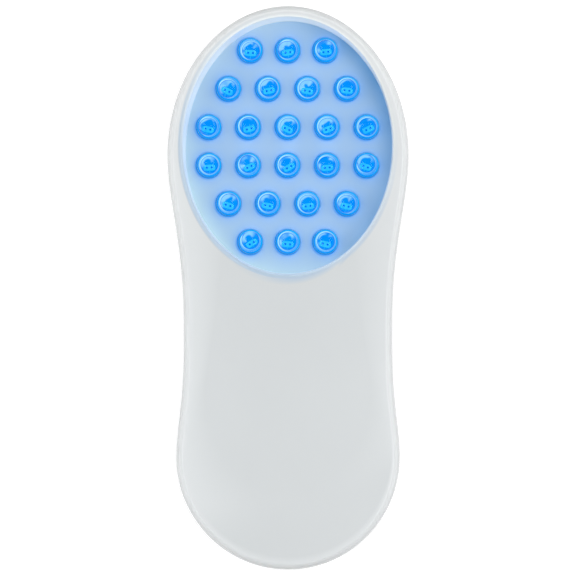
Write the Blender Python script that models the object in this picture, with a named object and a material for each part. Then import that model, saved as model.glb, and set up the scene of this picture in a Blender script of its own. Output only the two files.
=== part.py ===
"""Hand-held blue light device with 24 lamps, lying on its back with its lamp window up.

Metres, +Z up. +Y points to the head, where the window is. The origin is below the middle of the
body, on the plane that the back of the casing rests on.
"""

import math

import bmesh
import bpy
from mathutils import Matrix, Vector

# Clearances and small values that many pieces share
GAP = 0.0003
OVERRUN = 0.0012
MERGE = 0.00001
ROUND_STEPS = 16
BROAD_STEPS = 24
POST_STEPS = 8
SHARP_DEGREES = 35.0

# Lamps: standard 5 mm parts, in six rows on the board
LAMP_ROWS = (3, 4, 5, 5, 4, 3)
LAMP_PITCH = 0.00943
LAMP_PITCH_IN_THREES = 0.00898
LAMP_ROW_PITCH = 0.00916
LED_FLANGE_RADIUS = 0.0029
LED_FLANGE_HEIGHT = 0.001
LED_DOME_DEGREES = (0.0, 32.0, 62.0, 90.0)
LED_FLAT_SHARE = 0.88
LED_RADIUS = 0.0025
LED_HEIGHT = 0.0086

# Window and the rim of casing around it
WINDOW_SIDE_MARGIN = 0.00308
WINDOW_END_MARGIN = 0.00474
WINDOW_STEPS = 48
RIM_SIDE = 0.00408
RIM_TOP = 0.00302
WELL_DRAFT = 0.0004
LIP_ROUND = 0.0013
LIP_STEPS = 3
LIP_DEGREES = 80.0
COLLAR_WALL = 0.0026
RIM_OVER_LAMPS = 0.0008

# Casing
WALL = 0.0018
FACE_WALL = 0.002
SEAM = 0.0003
EDGE_RUN = 0.002
EDGE_DROP = 0.0036
EDGE_STEPS = 3
SIDE_DRAFT = 0.0003
CROWN = 0.0016
CROWN_SHARES = (0.25, 0.5, 0.75)
INNER_CROWN_SHARES = (0.5,)
BACK_RUN = 0.0072
BACK_RISE = 0.0078
BACK_STEPS = 4
PART_LINE_SHARE = 0.48
TONGUE_HEIGHT = 0.0014
TONGUE_WALL = 0.001
TONGUE_ROOT = 0.0022
HEAD_STEPS = 20
SIDE_STEPS = 12
FOOT_STEPS = 16

# Handle: three AAA cells side by side set its width and its length
CELL_RADIUS = 0.0052
CELL_LENGTH = 0.0445
CELL_NUB_RADIUS = 0.0019
CELL_NUB_HEIGHT = 0.001
CELL_EDGE = 0.0003
CELL_COUNT = 3
CELL_PITCH = 0.0109
CELL_PLAY = 0.0004
SPRING_SPACE = 0.0032
CONTACT_SHEET = 0.0004
CONTACT_WIDTH = 0.0074
CONTACT_RISE = 0.0042
CONTACT_TAB_WIDTH = 0.0022
CONTACT_TAB_RISE = 0.0014
SPRING_WIRE_RADIUS = 0.00025
SPRING_FOOT_RADIUS = 0.0031
SPRING_TIP_RADIUS = 0.0017
SPRING_TURNS = 3
SPRING_STEPS = 8
BAY_WALL = 0.0015
DOOR_LAP = 0.0003
DOOR_FOOT_LAP = 0.0015
DOOR_FLAT_MARGIN = 0.0007
DOOR_CORNER = 0.004
DOOR_UNDER_WINDOW = 0.0009
FOOT_FLARE = 0.0018
FOOT_REACH = 0.0271
FOOT_MARGIN = 0.0159
WAIST_SHARE = 0.4
HEAD_BLEND_POWER = 1.4
FOOT_BLEND_POWER = 1.5
WINDOW_OFF_HEAD = 0.0022
WIRE_SPACE = 0.0056
RISE_START_SHARE = 0.2
RISE_END_SHARE = 0.8

# Door: two hooks at the foot end, a spring latch at the head end, grooves for the thumb
HOOK_WIDTH = 0.005
HOOK_REACH = 0.0015
HOOK_THICK = 0.0012
HOOK_ROOM = 0.0007
HOOK_PLACE_SHARE = 0.6
LATCH_WIDTH = 0.008
LATCH_THICK = 0.0012
LATCH_RISE = 0.0046
LATCH_SETBACK = 0.001
LATCH_ROOM = 0.0008
LATCH_BEAD = 0.0005
CATCH_WALL = 0.0014
DOOR_RIB_WIDTH = 0.001
DOOR_RIB_RISE = 0.0012
GROOVE_COUNT = 5
GROOVE_WIDTH = 0.0011
GROOVE_DEPTH = 0.0005
GROOVE_PITCH = 0.0022
GROOVE_LENGTH = 0.015
GROOVE_SETBACK = 0.0022
THUMB_RADIUS = 0.0068
THUMB_DEPTH = 0.0015
THUMB_PAD = 0.0013

# Button and the switch that it presses
BUTTON_RADIUS = 0.006
BUTTON_DOME = 0.0003
BUTTON_RECESS = 0.0006
BUTTON_FLANGE = 0.0012
BUTTON_FLANGE_HEIGHT = 0.001
BUTTON_STEM_RADIUS = 0.002
BUTTON_STEM_HEIGHT = 0.0008
BUTTON_TRAVEL = 0.0005
BUTTON_DISH_MARGIN = 0.005
BUTTON_DISH_DEPTH = 0.0007
BUTTON_DISH_STEPS = 4
SWITCH_SIDE = 0.0062
SWITCH_HEIGHT = 0.0035
PLUNGER_RADIUS = 0.0017
PLUNGER_OUT = 0.001
PLUNGER_IN = 0.0009

# Boards and what stands on them
CONTROL_BOARD_HALF_WIDTH = 0.0135
CONTROL_BOARD_HALF_LENGTH = 0.0135
CONTROL_BOARD_CORNER = 0.002
CONTROL_BOARD_THICK = 0.0012
LED_BOARD_THICK = 0.0016
PANEL_THICK = 0.002
COMPONENT_ROOM = 0.0048
COMPONENT_CLEAR = 0.0012
CHIP_WIDTH = 0.0039
CHIP_LENGTH = 0.0099
CHIP_HEIGHT = 0.0017
CHIP_SPOT_SHARES = (0.0, -0.15)
CAPACITOR_RADIUS = 0.0023
CAPACITOR_LENGTH = 0.0085
CAPACITOR_SPOT_SHARES = (0.8, 0.9)
BUZZER_RADIUS = 0.0043
BUZZER_HEIGHT = 0.0042
BUZZER_HOLE_RADIUS = 0.0007
BUZZER_SPOT_SHARES = (-0.9, 0.9)
CONNECTOR_WIDTH = 0.0058
CONNECTOR_DEPTH = 0.004
CONNECTOR_HEIGHT = 0.0038
CONNECTOR_SPOT_SHARES = (0.0, -1.0)
COMPONENT_EDGE = 0.0006
BOARD_POST_RADIUS = 0.0018
BOARD_POST_INSET = 0.0022
LAMP_POST_RADIUS = 0.002
LAMP_POST_OUT = 0.0042

# Screws and their bosses
SCREW_HEAD_RADIUS = 0.0021
SCREW_HEAD_HEIGHT = 0.0014
SCREW_RADIUS = 0.0011
SCREW_BITE = 0.005
SCREW_TIP = 0.001
SCREW_SINK = 0.0026
SCREW_PLAY = 0.0003
BOSS_WALL = 0.0014
FOOT_SCREW_SHARE = 0.28

# Wires
WIRE_RADIUS = 0.0006
WIRE_POINTS = 11

# Colours of the sub-parts: red, green, blue, roughness, metallic
WHITE_SHELL = (0.78, 0.81, 0.82, 0.28, 0.0)
PANEL_BLUE = (0.42, 0.62, 0.88, 0.4, 0.0)
LAMP_BLUE = (0.02, 0.30, 0.95, 0.12, 0.0)
BOARD_WHITE = (0.70, 0.74, 0.76, 0.5, 0.0)
BOARD_GREEN = (0.02, 0.16, 0.07, 0.45, 0.0)
BUTTON_GREY = (0.45, 0.49, 0.52, 0.4, 0.0)
BLACK_PLASTIC = (0.02, 0.02, 0.022, 0.45, 0.0)
STEEL = (0.62, 0.62, 0.60, 0.3, 1.0)
CELL_GREY = (0.25, 0.28, 0.32, 0.35, 0.6)
CREAM_PLASTIC = (0.75, 0.70, 0.58, 0.5, 0.0)
RED_WIRE = (0.55, 0.02, 0.02, 0.5, 0.0)
BLACK_WIRE = (0.02, 0.02, 0.02, 0.5, 0.0)

# Window and body plan, from the lamps, the cells and the rims
WINDOW_HALF_WIDTH = (max(LAMP_ROWS) - 1) / 2 * LAMP_PITCH + LED_FLANGE_RADIUS + WINDOW_SIDE_MARGIN
WINDOW_HALF_LENGTH = (len(LAMP_ROWS) - 1) / 2 * LAMP_ROW_PITCH + LED_FLANGE_RADIUS + WINDOW_END_MARGIN
HEAD_HALF_WIDTH = WINDOW_HALF_WIDTH + RIM_SIDE
HEAD_REACH = WINDOW_OFF_HEAD + WINDOW_HALF_LENGTH + RIM_TOP
BOARD_LAP = min(RIM_TOP, RIM_SIDE) - WALL - SIDE_DRAFT - GAP
BAY_HALF_WIDTH = (CELL_COUNT - 1) / 2 * CELL_PITCH + CELL_RADIUS + CELL_PLAY
BAY_LENGTH = CELL_LENGTH + SPRING_SPACE + 2 * CONTACT_SHEET + 5 * GAP
DOOR_HALF_WIDTH = BAY_HALF_WIDTH + DOOR_LAP
DOOR_LENGTH = (DOOR_FOOT_LAP + BAY_LENGTH + BAY_WALL + LATCH_ROOM + LATCH_THICK + LATCH_SETBACK)
WAIST_HALF_WIDTH = DOOR_HALF_WIDTH + GAP + DOOR_FLAT_MARGIN + BACK_RUN
FOOT_HALF_WIDTH = WAIST_HALF_WIDTH + FOOT_FLARE
BODY_LENGTH = RIM_TOP + 2 * WINDOW_HALF_LENGTH - DOOR_UNDER_WINDOW + DOOR_LENGTH + FOOT_MARGIN
HEAD_Y = BODY_LENGTH / 2 - HEAD_REACH
FOOT_Y = FOOT_REACH - BODY_LENGTH / 2
WAIST_Y = FOOT_Y + WAIST_SHARE * (HEAD_Y - FOOT_Y)
WINDOW_Y = HEAD_Y + WINDOW_OFF_HEAD
DOOR_FOOT_Y = FOOT_MARGIN - BODY_LENGTH / 2
DOOR_HEAD_Y = DOOR_FOOT_Y + DOOR_LENGTH
BAY_FOOT_Y = DOOR_FOOT_Y + DOOR_FOOT_LAP
BAY_HEAD_Y = BAY_FOOT_Y + BAY_LENGTH

# Heights, from the back up
BUTTON_FLANGE_Z = WALL + GAP
BUTTON_TOP_Z = BUTTON_FLANGE_Z + BUTTON_FLANGE_HEIGHT + BUTTON_STEM_HEIGHT
PLUNGER_Z = BUTTON_TOP_Z + GAP
SWITCH_Z = PLUNGER_Z + PLUNGER_OUT
CONTROL_BOARD_Z = SWITCH_Z + SWITCH_HEIGHT + GAP
CONTROL_BOARD_TOP = CONTROL_BOARD_Z + CONTROL_BOARD_THICK
LED_BOARD_Z = CONTROL_BOARD_TOP + GAP + COMPONENT_ROOM + COMPONENT_CLEAR
LED_BOARD_TOP = LED_BOARD_Z + LED_BOARD_THICK
LED_Z = LED_BOARD_TOP + GAP
PANEL_TOP = LED_BOARD_TOP + GAP + PANEL_THICK
COLLAR_Z = PANEL_TOP + GAP
HEAD_FACE_Z = LED_Z + LED_HEIGHT + RIM_OVER_LAMPS
CELL_Z = WALL + CELL_PLAY + CELL_RADIUS
HOOK_TOP_Z = WALL + GAP + HOOK_THICK
BAY_CEILING_Z = CELL_Z + CELL_RADIUS + CELL_PLAY
BAY_TOP_Z = BAY_CEILING_Z + BAY_WALL
HANDLE_FACE_Z = BAY_TOP_Z + WIRE_SPACE + FACE_WALL
PART_Z = PART_LINE_SHARE * HEAD_FACE_Z

# Screw places: two beside the neck, two in the foot
BOSS_RADIUS = SCREW_HEAD_RADIUS + SCREW_PLAY + BOSS_WALL / 2
PILOT_RADIUS = SCREW_RADIUS + SCREW_PLAY
FRONT_BOSS_RADIUS = PILOT_RADIUS + BOSS_WALL - SCREW_PLAY / 2
NECK_SCREW_X = BAY_HALF_WIDTH + SCREW_HEAD_RADIUS
NECK_SCREW_Y = BAY_HEAD_Y + BAY_WALL + BOSS_RADIUS + LATCH_ROOM + LATCH_THICK
FOOT_SCREW_X = FOOT_SCREW_SHARE * FOOT_HALF_WIDTH
FOOT_SCREW_Y = DOOR_FOOT_Y - HOOK_REACH - BOSS_RADIUS - GAP


def smooth_share(share):
    """Ease a share between 0 and 1 so that it starts and ends level."""
    share = min(max(share, 0.0), 1.0)
    return share * share * (3.0 - 2.0 * share)


def half_width(y):
    """Half the width of the body at a place along it."""
    if y >= HEAD_Y:
        return HEAD_HALF_WIDTH * math.sqrt(max(0.0, 1.0 - ((y - HEAD_Y) / HEAD_REACH) ** 2))
    if y <= FOOT_Y:
        return FOOT_HALF_WIDTH * math.sqrt(max(0.0, 1.0 - ((FOOT_Y - y) / FOOT_REACH) ** 2))
    if y >= WAIST_Y:
        share = smooth_share(((y - WAIST_Y) / (HEAD_Y - WAIST_Y)) ** HEAD_BLEND_POWER)
        return WAIST_HALF_WIDTH + (HEAD_HALF_WIDTH - WAIST_HALF_WIDTH) * share
    share = smooth_share(((WAIST_Y - y) / (WAIST_Y - FOOT_Y)) ** FOOT_BLEND_POWER)
    return WAIST_HALF_WIDTH + (FOOT_HALF_WIDTH - WAIST_HALF_WIDTH) * share


def body_outline():
    """The plan outline of the body, anticlockwise from the right of the head."""
    points = []
    for step in range(HEAD_STEPS + 1):
        angle = math.pi * step / HEAD_STEPS
        points.append(Vector((HEAD_HALF_WIDTH * math.cos(angle), HEAD_Y + HEAD_REACH * math.sin(angle))))
    side = [HEAD_Y + (FOOT_Y - HEAD_Y) * step / SIDE_STEPS for step in range(1, SIDE_STEPS)]
    points += [Vector((-half_width(y), y)) for y in side]
    for step in range(FOOT_STEPS + 1):
        angle = math.pi + math.pi * step / FOOT_STEPS
        points.append(Vector((FOOT_HALF_WIDTH * math.cos(angle), FOOT_Y + FOOT_REACH * math.sin(angle))))
    points += [Vector((half_width(y), y)) for y in reversed(side)]
    return points


def outward_normals(points):
    """The outward direction at each point of a closed anticlockwise outline."""
    normals = []
    for index, _ in enumerate(points):
        along = points[(index + 1) % len(points)] - points[index - 1]
        normals.append(Vector((along.y, -along.x)).normalized())
    return normals


OUTLINE = body_outline()
NORMALS = outward_normals(OUTLINE)


def face_height(x, y):
    """Height of the front face at its rounded edge: low on the handle, higher at the head."""
    share = (y - WAIST_Y) / (HEAD_Y - WAIST_Y)
    rise = smooth_share((share + RISE_START_SHARE) / (RISE_END_SHARE + RISE_START_SHARE))
    return HANDLE_FACE_Z + (HEAD_FACE_Z - HANDLE_FACE_Z) * rise


def crown_height(x, y):
    """Height of the crowned front face, highest along the middle of the body."""
    if y >= HEAD_Y:
        out = math.hypot(x / (HEAD_HALF_WIDTH - EDGE_RUN), (y - HEAD_Y) / (HEAD_REACH - EDGE_RUN))
    elif y <= FOOT_Y:
        out = math.hypot(x / (FOOT_HALF_WIDTH - EDGE_RUN), (y - FOOT_Y) / (FOOT_REACH - EDGE_RUN))
    else:
        out = abs(x) / (half_width(y) - EDGE_RUN)
    return face_height(x, y) + CROWN * (1.0 - min(out, 1.0) ** 2)


def height_at(height, x, y, drop=0.0):
    """A height that is either a number or a function of the place, less a drop."""
    return (height(x, y) if callable(height) else height) - drop


def body_ring(inset, height, drop=0.0):
    """The body's outline drawn in by an inset, as a ring of points at a height."""
    ring = []
    for point, normal in zip(OUTLINE, NORMALS):
        place = point - normal * inset
        ring.append(Vector((place.x, place.y, height_at(height, place.x, place.y, drop))))
    return ring


def spine_ring(edge, share, height, drop=0.0):
    """A ring drawn from an edge ring towards the middle line of the body."""
    ring = []
    for point in edge:
        middle = Vector((0.0, min(max(point.y, FOOT_Y), HEAD_Y)))
        place = point.xy.lerp(middle, share)
        ring.append(Vector((place.x, place.y, height_at(height, place.x, place.y, drop))))
    return ring


def oval_ring(offset, height, drop=0.0, steps=WINDOW_STEPS):
    """The window's oval widened by an offset, as a ring of points at a height."""
    ring = []
    for step in range(steps):
        angle = 2.0 * math.pi * step / steps
        x = (WINDOW_HALF_WIDTH + offset) * math.cos(angle)
        y = WINDOW_Y + (WINDOW_HALF_LENGTH + offset) * math.sin(angle)
        ring.append(Vector((x, y, height_at(height, x, y, drop))))
    return ring


def circle_ring(centre, radius, z, steps=ROUND_STEPS):
    """A level circle of points."""
    angles = [2.0 * math.pi * (step + 0.5) / steps for step in range(steps)]
    return [Vector((centre.x + radius * math.cos(a), centre.y + radius * math.sin(a), z)) for a in angles]


def rounded_ring(centre, half_x, half_y, corner, z, steps=3):
    """A level rectangle of points with rounded corners."""
    ring = []
    for quarter, (sx, sy) in enumerate(((1, 1), (-1, 1), (-1, -1), (1, -1))):
        for step in range(steps + 1):
            angle = math.pi / 2.0 * (quarter + step / steps)
            x = centre.x + sx * (half_x - corner) + corner * math.cos(angle)
            y = centre.y + sy * (half_y - corner) + corner * math.sin(angle)
            ring.append(Vector((x, y, z)))
    return ring


def add_loft(bm, rings, start_cap=True, end_cap=True):
    """Join rings of equal count into a skin and close its ends."""
    rows = [[bm.verts.new(point) for point in ring] for ring in rings]
    for low, high in zip(rows, rows[1:]):
        for index, _ in enumerate(low):
            after = (index + 1) % len(low)
            bm.faces.new((low[index], low[after], high[after], high[index]))
    if start_cap:
        bm.faces.new(list(reversed(rows[0])))
    if end_cap:
        bm.faces.new(rows[-1])


def add_turned(bm, profile, centre, steps=ROUND_STEPS):
    """Turn a profile of radius and height pairs about an upright axis."""
    rings = [circle_ring(centre, max(radius, 0.0), z, steps) for radius, z in profile]
    add_loft(bm, rings, profile[0][0] > 0.0, profile[-1][0] > 0.0)


def add_box(bm, low, high):
    """A plain block between two corners."""
    middle = (Vector(low) + Vector(high)) / 2.0
    size = Vector(high) - Vector(low)
    place = Matrix.Translation(middle) @ Matrix.Diagonal(size.to_4d())
    bmesh.ops.create_cube(bm, size=1.0, matrix=place)


def make_material(name, look):
    """A Principled material from a colour, a roughness and a metallic value."""
    material = bpy.data.materials.get(name)
    if material:
        return material
    material = bpy.data.materials.new(name)
    material.use_nodes = True
    shader = material.node_tree.nodes["Principled BSDF"]
    shader.inputs["Base Color"].default_value = (*look[:3], 1.0)
    shader.inputs["Roughness"].default_value = look[3]
    shader.inputs["Metallic"].default_value = look[4]
    material.diffuse_color = (*look[:3], 1.0)
    return material


def finish_mesh(name, bm, smooth=True):
    """Weld a mesh, turn its faces out and shade its round faces smooth."""
    bmesh.ops.remove_doubles(bm, verts=bm.verts, dist=MERGE)
    bmesh.ops.recalc_face_normals(bm, faces=bm.faces)
    mesh = bpy.data.meshes.new(name)
    bm.to_mesh(mesh)
    bm.free()
    if smooth:
        mesh.shade_smooth()
        mesh.set_sharp_from_angle(angle=math.radians(SHARP_DEGREES))
    return mesh


def make_object(name, bm, material=None, smooth=True):
    """Turn a finished bmesh into a named object of the scene."""
    item = bpy.data.objects.new(name, finish_mesh(name, bm, smooth))
    if material:
        item.data.materials.append(material)
    bpy.context.scene.collection.objects.link(item)
    return item


def make_tool(name, bm):
    """A cutter or an addition for a Boolean, which isn't itself a piece."""
    tool = make_object(name, bm, smooth=False)
    tool.hide_render = True
    tool.display_type = "WIRE"
    return tool


def combine(target, tool, operation):
    """Join a tool to a piece, or cut it from the piece."""
    modifier = target.modifiers.new(f"{operation.title()} {tool.name}", "BOOLEAN")
    modifier.operation = operation
    modifier.solver = "EXACT"
    modifier.object = tool


def screw_places():
    """Where the four casing screws stand."""
    return [Vector((side * x, y)) for side in (-1, 1) for x, y in
            ((NECK_SCREW_X, NECK_SCREW_Y), (FOOT_SCREW_X, FOOT_SCREW_Y))]


def control_post_places():
    """Where the posts under the control board stand."""
    x = CONTROL_BOARD_HALF_WIDTH - BOARD_POST_INSET
    y = CONTROL_BOARD_HALF_LENGTH - BOARD_POST_INSET
    return [Vector((sx * x, WINDOW_Y + sy * y)) for sx in (-1, 1) for sy in (-1, 1)]


def lamp_post_places():
    """Where the posts that hold the lamp board up stand, beside the control board."""
    x = CONTROL_BOARD_HALF_WIDTH + LAMP_POST_OUT
    y = CONTROL_BOARD_HALF_LENGTH - BOARD_POST_INSET
    return [Vector((sx * x, WINDOW_Y + sy * y)) for sx in (-1, 1) for sy in (-1, 1)]


def lamp_places():
    """The centres of the lamps, row by row from the top of the head."""
    places = []
    for row, count in enumerate(LAMP_ROWS):
        pitch = LAMP_PITCH_IN_THREES if count == min(LAMP_ROWS) else LAMP_PITCH
        y = WINDOW_Y + ((len(LAMP_ROWS) - 1) / 2 - row) * LAMP_ROW_PITCH
        places += [Vector(((column - (count - 1) / 2) * pitch, y)) for column in range(count)]
    return places


def edge_rings(inset, face, drop, steps):
    """The rings of the rounded edge between the side of the casing and its front face."""
    rings = []
    for step in range(steps + 1):
        angle = math.pi / 2.0 * step / steps
        run = SIDE_DRAFT + (EDGE_RUN - SIDE_DRAFT) * (1.0 - math.cos(angle))
        fall = drop + EDGE_DROP * (1.0 - math.sin(angle))
        rings.append(body_ring(inset + run, face, fall))
    return rings


def crowned_skin(inset, base_z, drop, steps, shares):
    """A closed solid under the front face, from a base plane up to the crowned face."""
    bm = bmesh.new()
    rings = [body_ring(inset, base_z)] + edge_rings(inset, face_height, drop, steps)
    edge = rings[-1]
    rings += [spine_ring(edge, share, crown_height, drop) for share in shares]
    rings.append(spine_ring(edge, 1.0, crown_height, drop))
    add_loft(bm, rings, end_cap=False)
    return bm


def window_cutter():
    """The lamp well: an oval wall with a little draft that rolls out over the rim."""
    bm = bmesh.new()
    rings = [oval_ring(0.0, COLLAR_Z - OVERRUN), oval_ring(0.0, COLLAR_Z)]
    for step in range(LIP_STEPS + 1):
        angle = math.radians(LIP_DEGREES) * step / LIP_STEPS
        offset = WELL_DRAFT + LIP_ROUND * (1.0 - math.cos(angle))
        rings.append(oval_ring(offset, crown_height, LIP_ROUND * (1.0 - math.sin(angle))))
    rings.append(oval_ring(WELL_DRAFT + LIP_ROUND + GAP, crown_height, -OVERRUN))
    rings.append(oval_ring(WELL_DRAFT + LIP_ROUND + GAP, HEAD_FACE_Z + CROWN + 2 * OVERRUN))
    add_loft(bm, rings)
    return make_tool("window_cutter", bm)


def front_cavity():
    """The hollow of the front shell, less the collar that stands round the lamp well."""
    hollow = make_tool("front_cavity", crowned_skin(WALL, PART_Z - OVERRUN, FACE_WALL, 2, INNER_CROWN_SHARES))
    bm = bmesh.new()
    add_loft(bm, [oval_ring(COLLAR_WALL, COLLAR_Z), oval_ring(COLLAR_WALL, HEAD_FACE_Z + CROWN + OVERRUN)])
    combine(hollow, make_tool("collar_column", bm), "DIFFERENCE")
    return hollow


def make_front_shell():
    """Upper casing with the lamp well, its collar and the screw bosses."""
    shell = make_object("front_shell", crowned_skin(0.0, PART_Z + SEAM / 2, 0.0, EDGE_STEPS, CROWN_SHARES),
                        make_material("shell", WHITE_SHELL))
    combine(shell, front_cavity(), "DIFFERENCE")
    combine(shell, window_cutter(), "DIFFERENCE")
    bosses = bmesh.new()
    bores = bmesh.new()
    for place in screw_places():
        under = crown_height(place.x, place.y) - FACE_WALL
        roof = crown_height(place.x, place.y) - FACE_WALL / 2
        foot = PART_Z + SEAM / 2
        add_turned(bosses, [(FRONT_BOSS_RADIUS, foot), (FRONT_BOSS_RADIUS, roof)], place)
        bore_top = foot + SCREW_BITE + OVERRUN
        add_turned(bores, [(PILOT_RADIUS, foot - OVERRUN), (PILOT_RADIUS, bore_top)], place)
        assert bore_top < under, "the screw bores stay under the face"
    combine(shell, make_tool("front_bosses", bosses), "UNION")
    combine(shell, make_tool("front_bores", bores), "DIFFERENCE")
    return shell


def back_skin(inset, base_z, steps):
    """The rings of the rounded back, from its flat underside to its side."""
    rings = []
    for step in range(steps + 1):
        angle = math.pi / 2.0 * step / steps
        run = BACK_RUN * (1.0 - math.sin(angle))
        rings.append(body_ring(inset + run, base_z + BACK_RISE * (1.0 - math.cos(angle))))
    return rings


def back_body():
    """The solid of the back shell with the tongue that locates the front shell."""
    bm = bmesh.new()
    rings = back_skin(0.0, 0.0, BACK_STEPS)
    rings.append(body_ring(0.0, PART_Z - SEAM / 2))
    rings.append(body_ring(WALL + GAP, PART_Z - SEAM / 2))
    rings.append(body_ring(WALL + GAP, PART_Z + TONGUE_HEIGHT))
    add_loft(bm, rings)
    return bm


def back_cavity():
    """The hollow of the back shell."""
    bm = bmesh.new()
    rings = back_skin(WALL, WALL, BACK_STEPS // 2)
    inner = WALL + GAP + TONGUE_WALL
    rings.append(body_ring(WALL, PART_Z - TONGUE_ROOT))
    rings.append(body_ring(inner, PART_Z - TONGUE_ROOT + TONGUE_WALL))
    rings.append(body_ring(inner, PART_Z + TONGUE_HEIGHT + OVERRUN))
    add_loft(bm, rings)
    return make_tool("back_cavity", bm)


def add_back_posts(bm):
    """Screw bosses and the posts that carry both boards."""
    low = WALL / 2
    for place in screw_places():
        add_turned(bm, [(BOSS_RADIUS, low), (BOSS_RADIUS, PART_Z - SEAM / 2)], place)
    for place in control_post_places():
        post = [(BOARD_POST_RADIUS, low), (BOARD_POST_RADIUS, CONTROL_BOARD_Z - GAP)]
        add_turned(bm, post, place, POST_STEPS)
    for place in lamp_post_places():
        add_turned(bm, [(LAMP_POST_RADIUS, low), (LAMP_POST_RADIUS, LED_BOARD_Z - GAP)], place, POST_STEPS)


def screw_hole_cutter():
    """The counterbored screw holes in the back."""
    bm = bmesh.new()
    wide = SCREW_HEAD_RADIUS + SCREW_PLAY
    seat = SCREW_SINK + SCREW_HEAD_HEIGHT + GAP
    for place in screw_places():
        profile = [(wide, -OVERRUN), (wide, seat), (PILOT_RADIUS, seat), (PILOT_RADIUS, PART_Z + OVERRUN)]
        add_turned(bm, profile, place)
    return make_tool("screw_holes", bm)


def bay_middle():
    """The middle of the battery bay in plan."""
    return Vector((0.0, (BAY_FOOT_Y + BAY_HEAD_Y) / 2))


def door_middle():
    """The middle of the battery door in plan."""
    return Vector((0.0, (DOOR_FOOT_Y + DOOR_HEAD_Y) / 2))


def cell_places():
    """The cells' middle lines, left to right."""
    return [(index - (CELL_COUNT - 1) / 2) * CELL_PITCH for index in range(CELL_COUNT)]


def bay_block():
    """The walls and ceiling of the battery bay."""
    bm = bmesh.new()
    half_x = BAY_HALF_WIDTH + BAY_WALL
    half_y = BAY_LENGTH / 2 + BAY_WALL
    rings = [rounded_ring(bay_middle(), half_x, half_y, BAY_WALL, z) for z in (WALL / 2, BAY_TOP_Z)]
    add_loft(bm, rings)
    return make_tool("bay_block", bm)


def bay_cutter():
    """The space inside the battery bay."""
    bm = bmesh.new()
    add_box(bm, (-BAY_HALF_WIDTH, BAY_FOOT_Y, -OVERRUN), (BAY_HALF_WIDTH, BAY_HEAD_Y, BAY_CEILING_Z))
    return make_tool("bay_space", bm)


def bay_slots():
    """Slots for the door's hooks and for the tabs of the two end contacts."""
    bm = bmesh.new()
    hook_half = HOOK_WIDTH / 2 + GAP
    for side in (-1, 1):
        x = side * HOOK_PLACE_SHARE * BAY_HALF_WIDTH
        add_box(bm, (x - hook_half, BAY_FOOT_Y - BAY_WALL - OVERRUN, WALL + GAP / 2),
                (x + hook_half, BAY_FOOT_Y + OVERRUN, HOOK_TOP_Z + HOOK_ROOM))
    tab_half = CONTACT_TAB_WIDTH / 2 + GAP
    for x, wall_y, inward in tab_places():
        far = wall_y + inward * (CONTACT_SHEET + 2 * GAP)
        low = (x - tab_half, min(wall_y, far), BAY_CEILING_Z - OVERRUN)
        high = (x + tab_half, max(wall_y, far), BAY_TOP_Z + OVERRUN)
        add_box(bm, low, high)
    return make_tool("bay_slots", bm)


def tab_places():
    """Each end contact's tab: its middle line, the bay wall that it stands at, and the way in."""
    cells = cell_places()
    return ((cells[0], BAY_HEAD_Y, -1), (cells[-1], BAY_FOOT_Y, 1))


def door_recess():
    """The opening in the back that the door fills."""
    bm = bmesh.new()
    half_x = DOOR_HALF_WIDTH + GAP
    half_y = DOOR_LENGTH / 2 + GAP
    rings = [rounded_ring(door_middle(), half_x, half_y, DOOR_CORNER + GAP, z)
             for z in (-OVERRUN, WALL + GAP)]
    add_loft(bm, rings)
    return make_tool("door_recess", bm)


def catch_block():
    """The rib that the door's latch snaps behind, with a pad under the thumb scoop."""
    bm = bmesh.new()
    y = DOOR_HEAD_Y + GAP
    half = LATCH_WIDTH / 2 + CATCH_WALL
    add_box(bm, (-half, y, WALL / 2), (half, y + CATCH_WALL, WALL + LATCH_RISE))
    pad = bmesh.new()
    reach = THUMB_RADIUS + CATCH_WALL
    rings = [[Vector((point.x, max(point.y, y), point.z)) for point in
              circle_ring(Vector((0.0, y)), reach, z, BROAD_STEPS)] for z in (WALL / 2, WALL + THUMB_PAD)]
    add_loft(pad, rings)
    return make_tool("catch_rib", bm), make_tool("thumb_pad", pad)


def thumb_cutter():
    """A shallow scoop in the back beside the door's head end."""
    bm = bmesh.new()
    profile = [(THUMB_RADIUS, -OVERRUN), (THUMB_RADIUS, 0.0)]
    for step in range(1, BUTTON_DISH_STEPS):
        share = 1.0 - step / BUTTON_DISH_STEPS
        profile.append((THUMB_RADIUS * share, THUMB_DEPTH * (1.0 - share ** 2)))
    profile.append((0.0, THUMB_DEPTH))
    add_turned(bm, profile, Vector((0.0, DOOR_HEAD_Y + GAP)), BROAD_STEPS)
    return make_tool("thumb_scoop", bm)


def button_cutter():
    """The button's hole and the shallow dish round it."""
    bm = bmesh.new()
    hole = BUTTON_RADIUS + GAP
    rim = hole + BUTTON_DISH_MARGIN
    profile = [(rim, -OVERRUN), (rim, 0.0)]
    for step in range(1, BUTTON_DISH_STEPS + 1):
        share = step / BUTTON_DISH_STEPS
        profile.append((rim + (hole - rim) * share, BUTTON_DISH_DEPTH * (1.0 - (1.0 - share) ** 2)))
    profile.append((hole, WALL + OVERRUN))
    add_turned(bm, profile, Vector((0.0, WINDOW_Y)), BROAD_STEPS)
    return make_tool("button_hole", bm)


def make_back_shell():
    """Lower casing with the battery bay, the bosses and posts, the button hole and the scoop."""
    shell = make_object("back_shell", back_body(), make_material("shell", WHITE_SHELL))
    combine(shell, back_cavity(), "DIFFERENCE")
    posts = bmesh.new()
    add_back_posts(posts)
    combine(shell, make_tool("back_posts", posts), "UNION")
    combine(shell, bay_block(), "UNION")
    for block in catch_block():
        combine(shell, block, "UNION")
    for cutter in (bay_cutter(), door_recess(), bay_slots(), thumb_cutter(), button_cutter(),
                   screw_hole_cutter()):
        combine(shell, cutter, "DIFFERENCE")
    return shell


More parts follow.
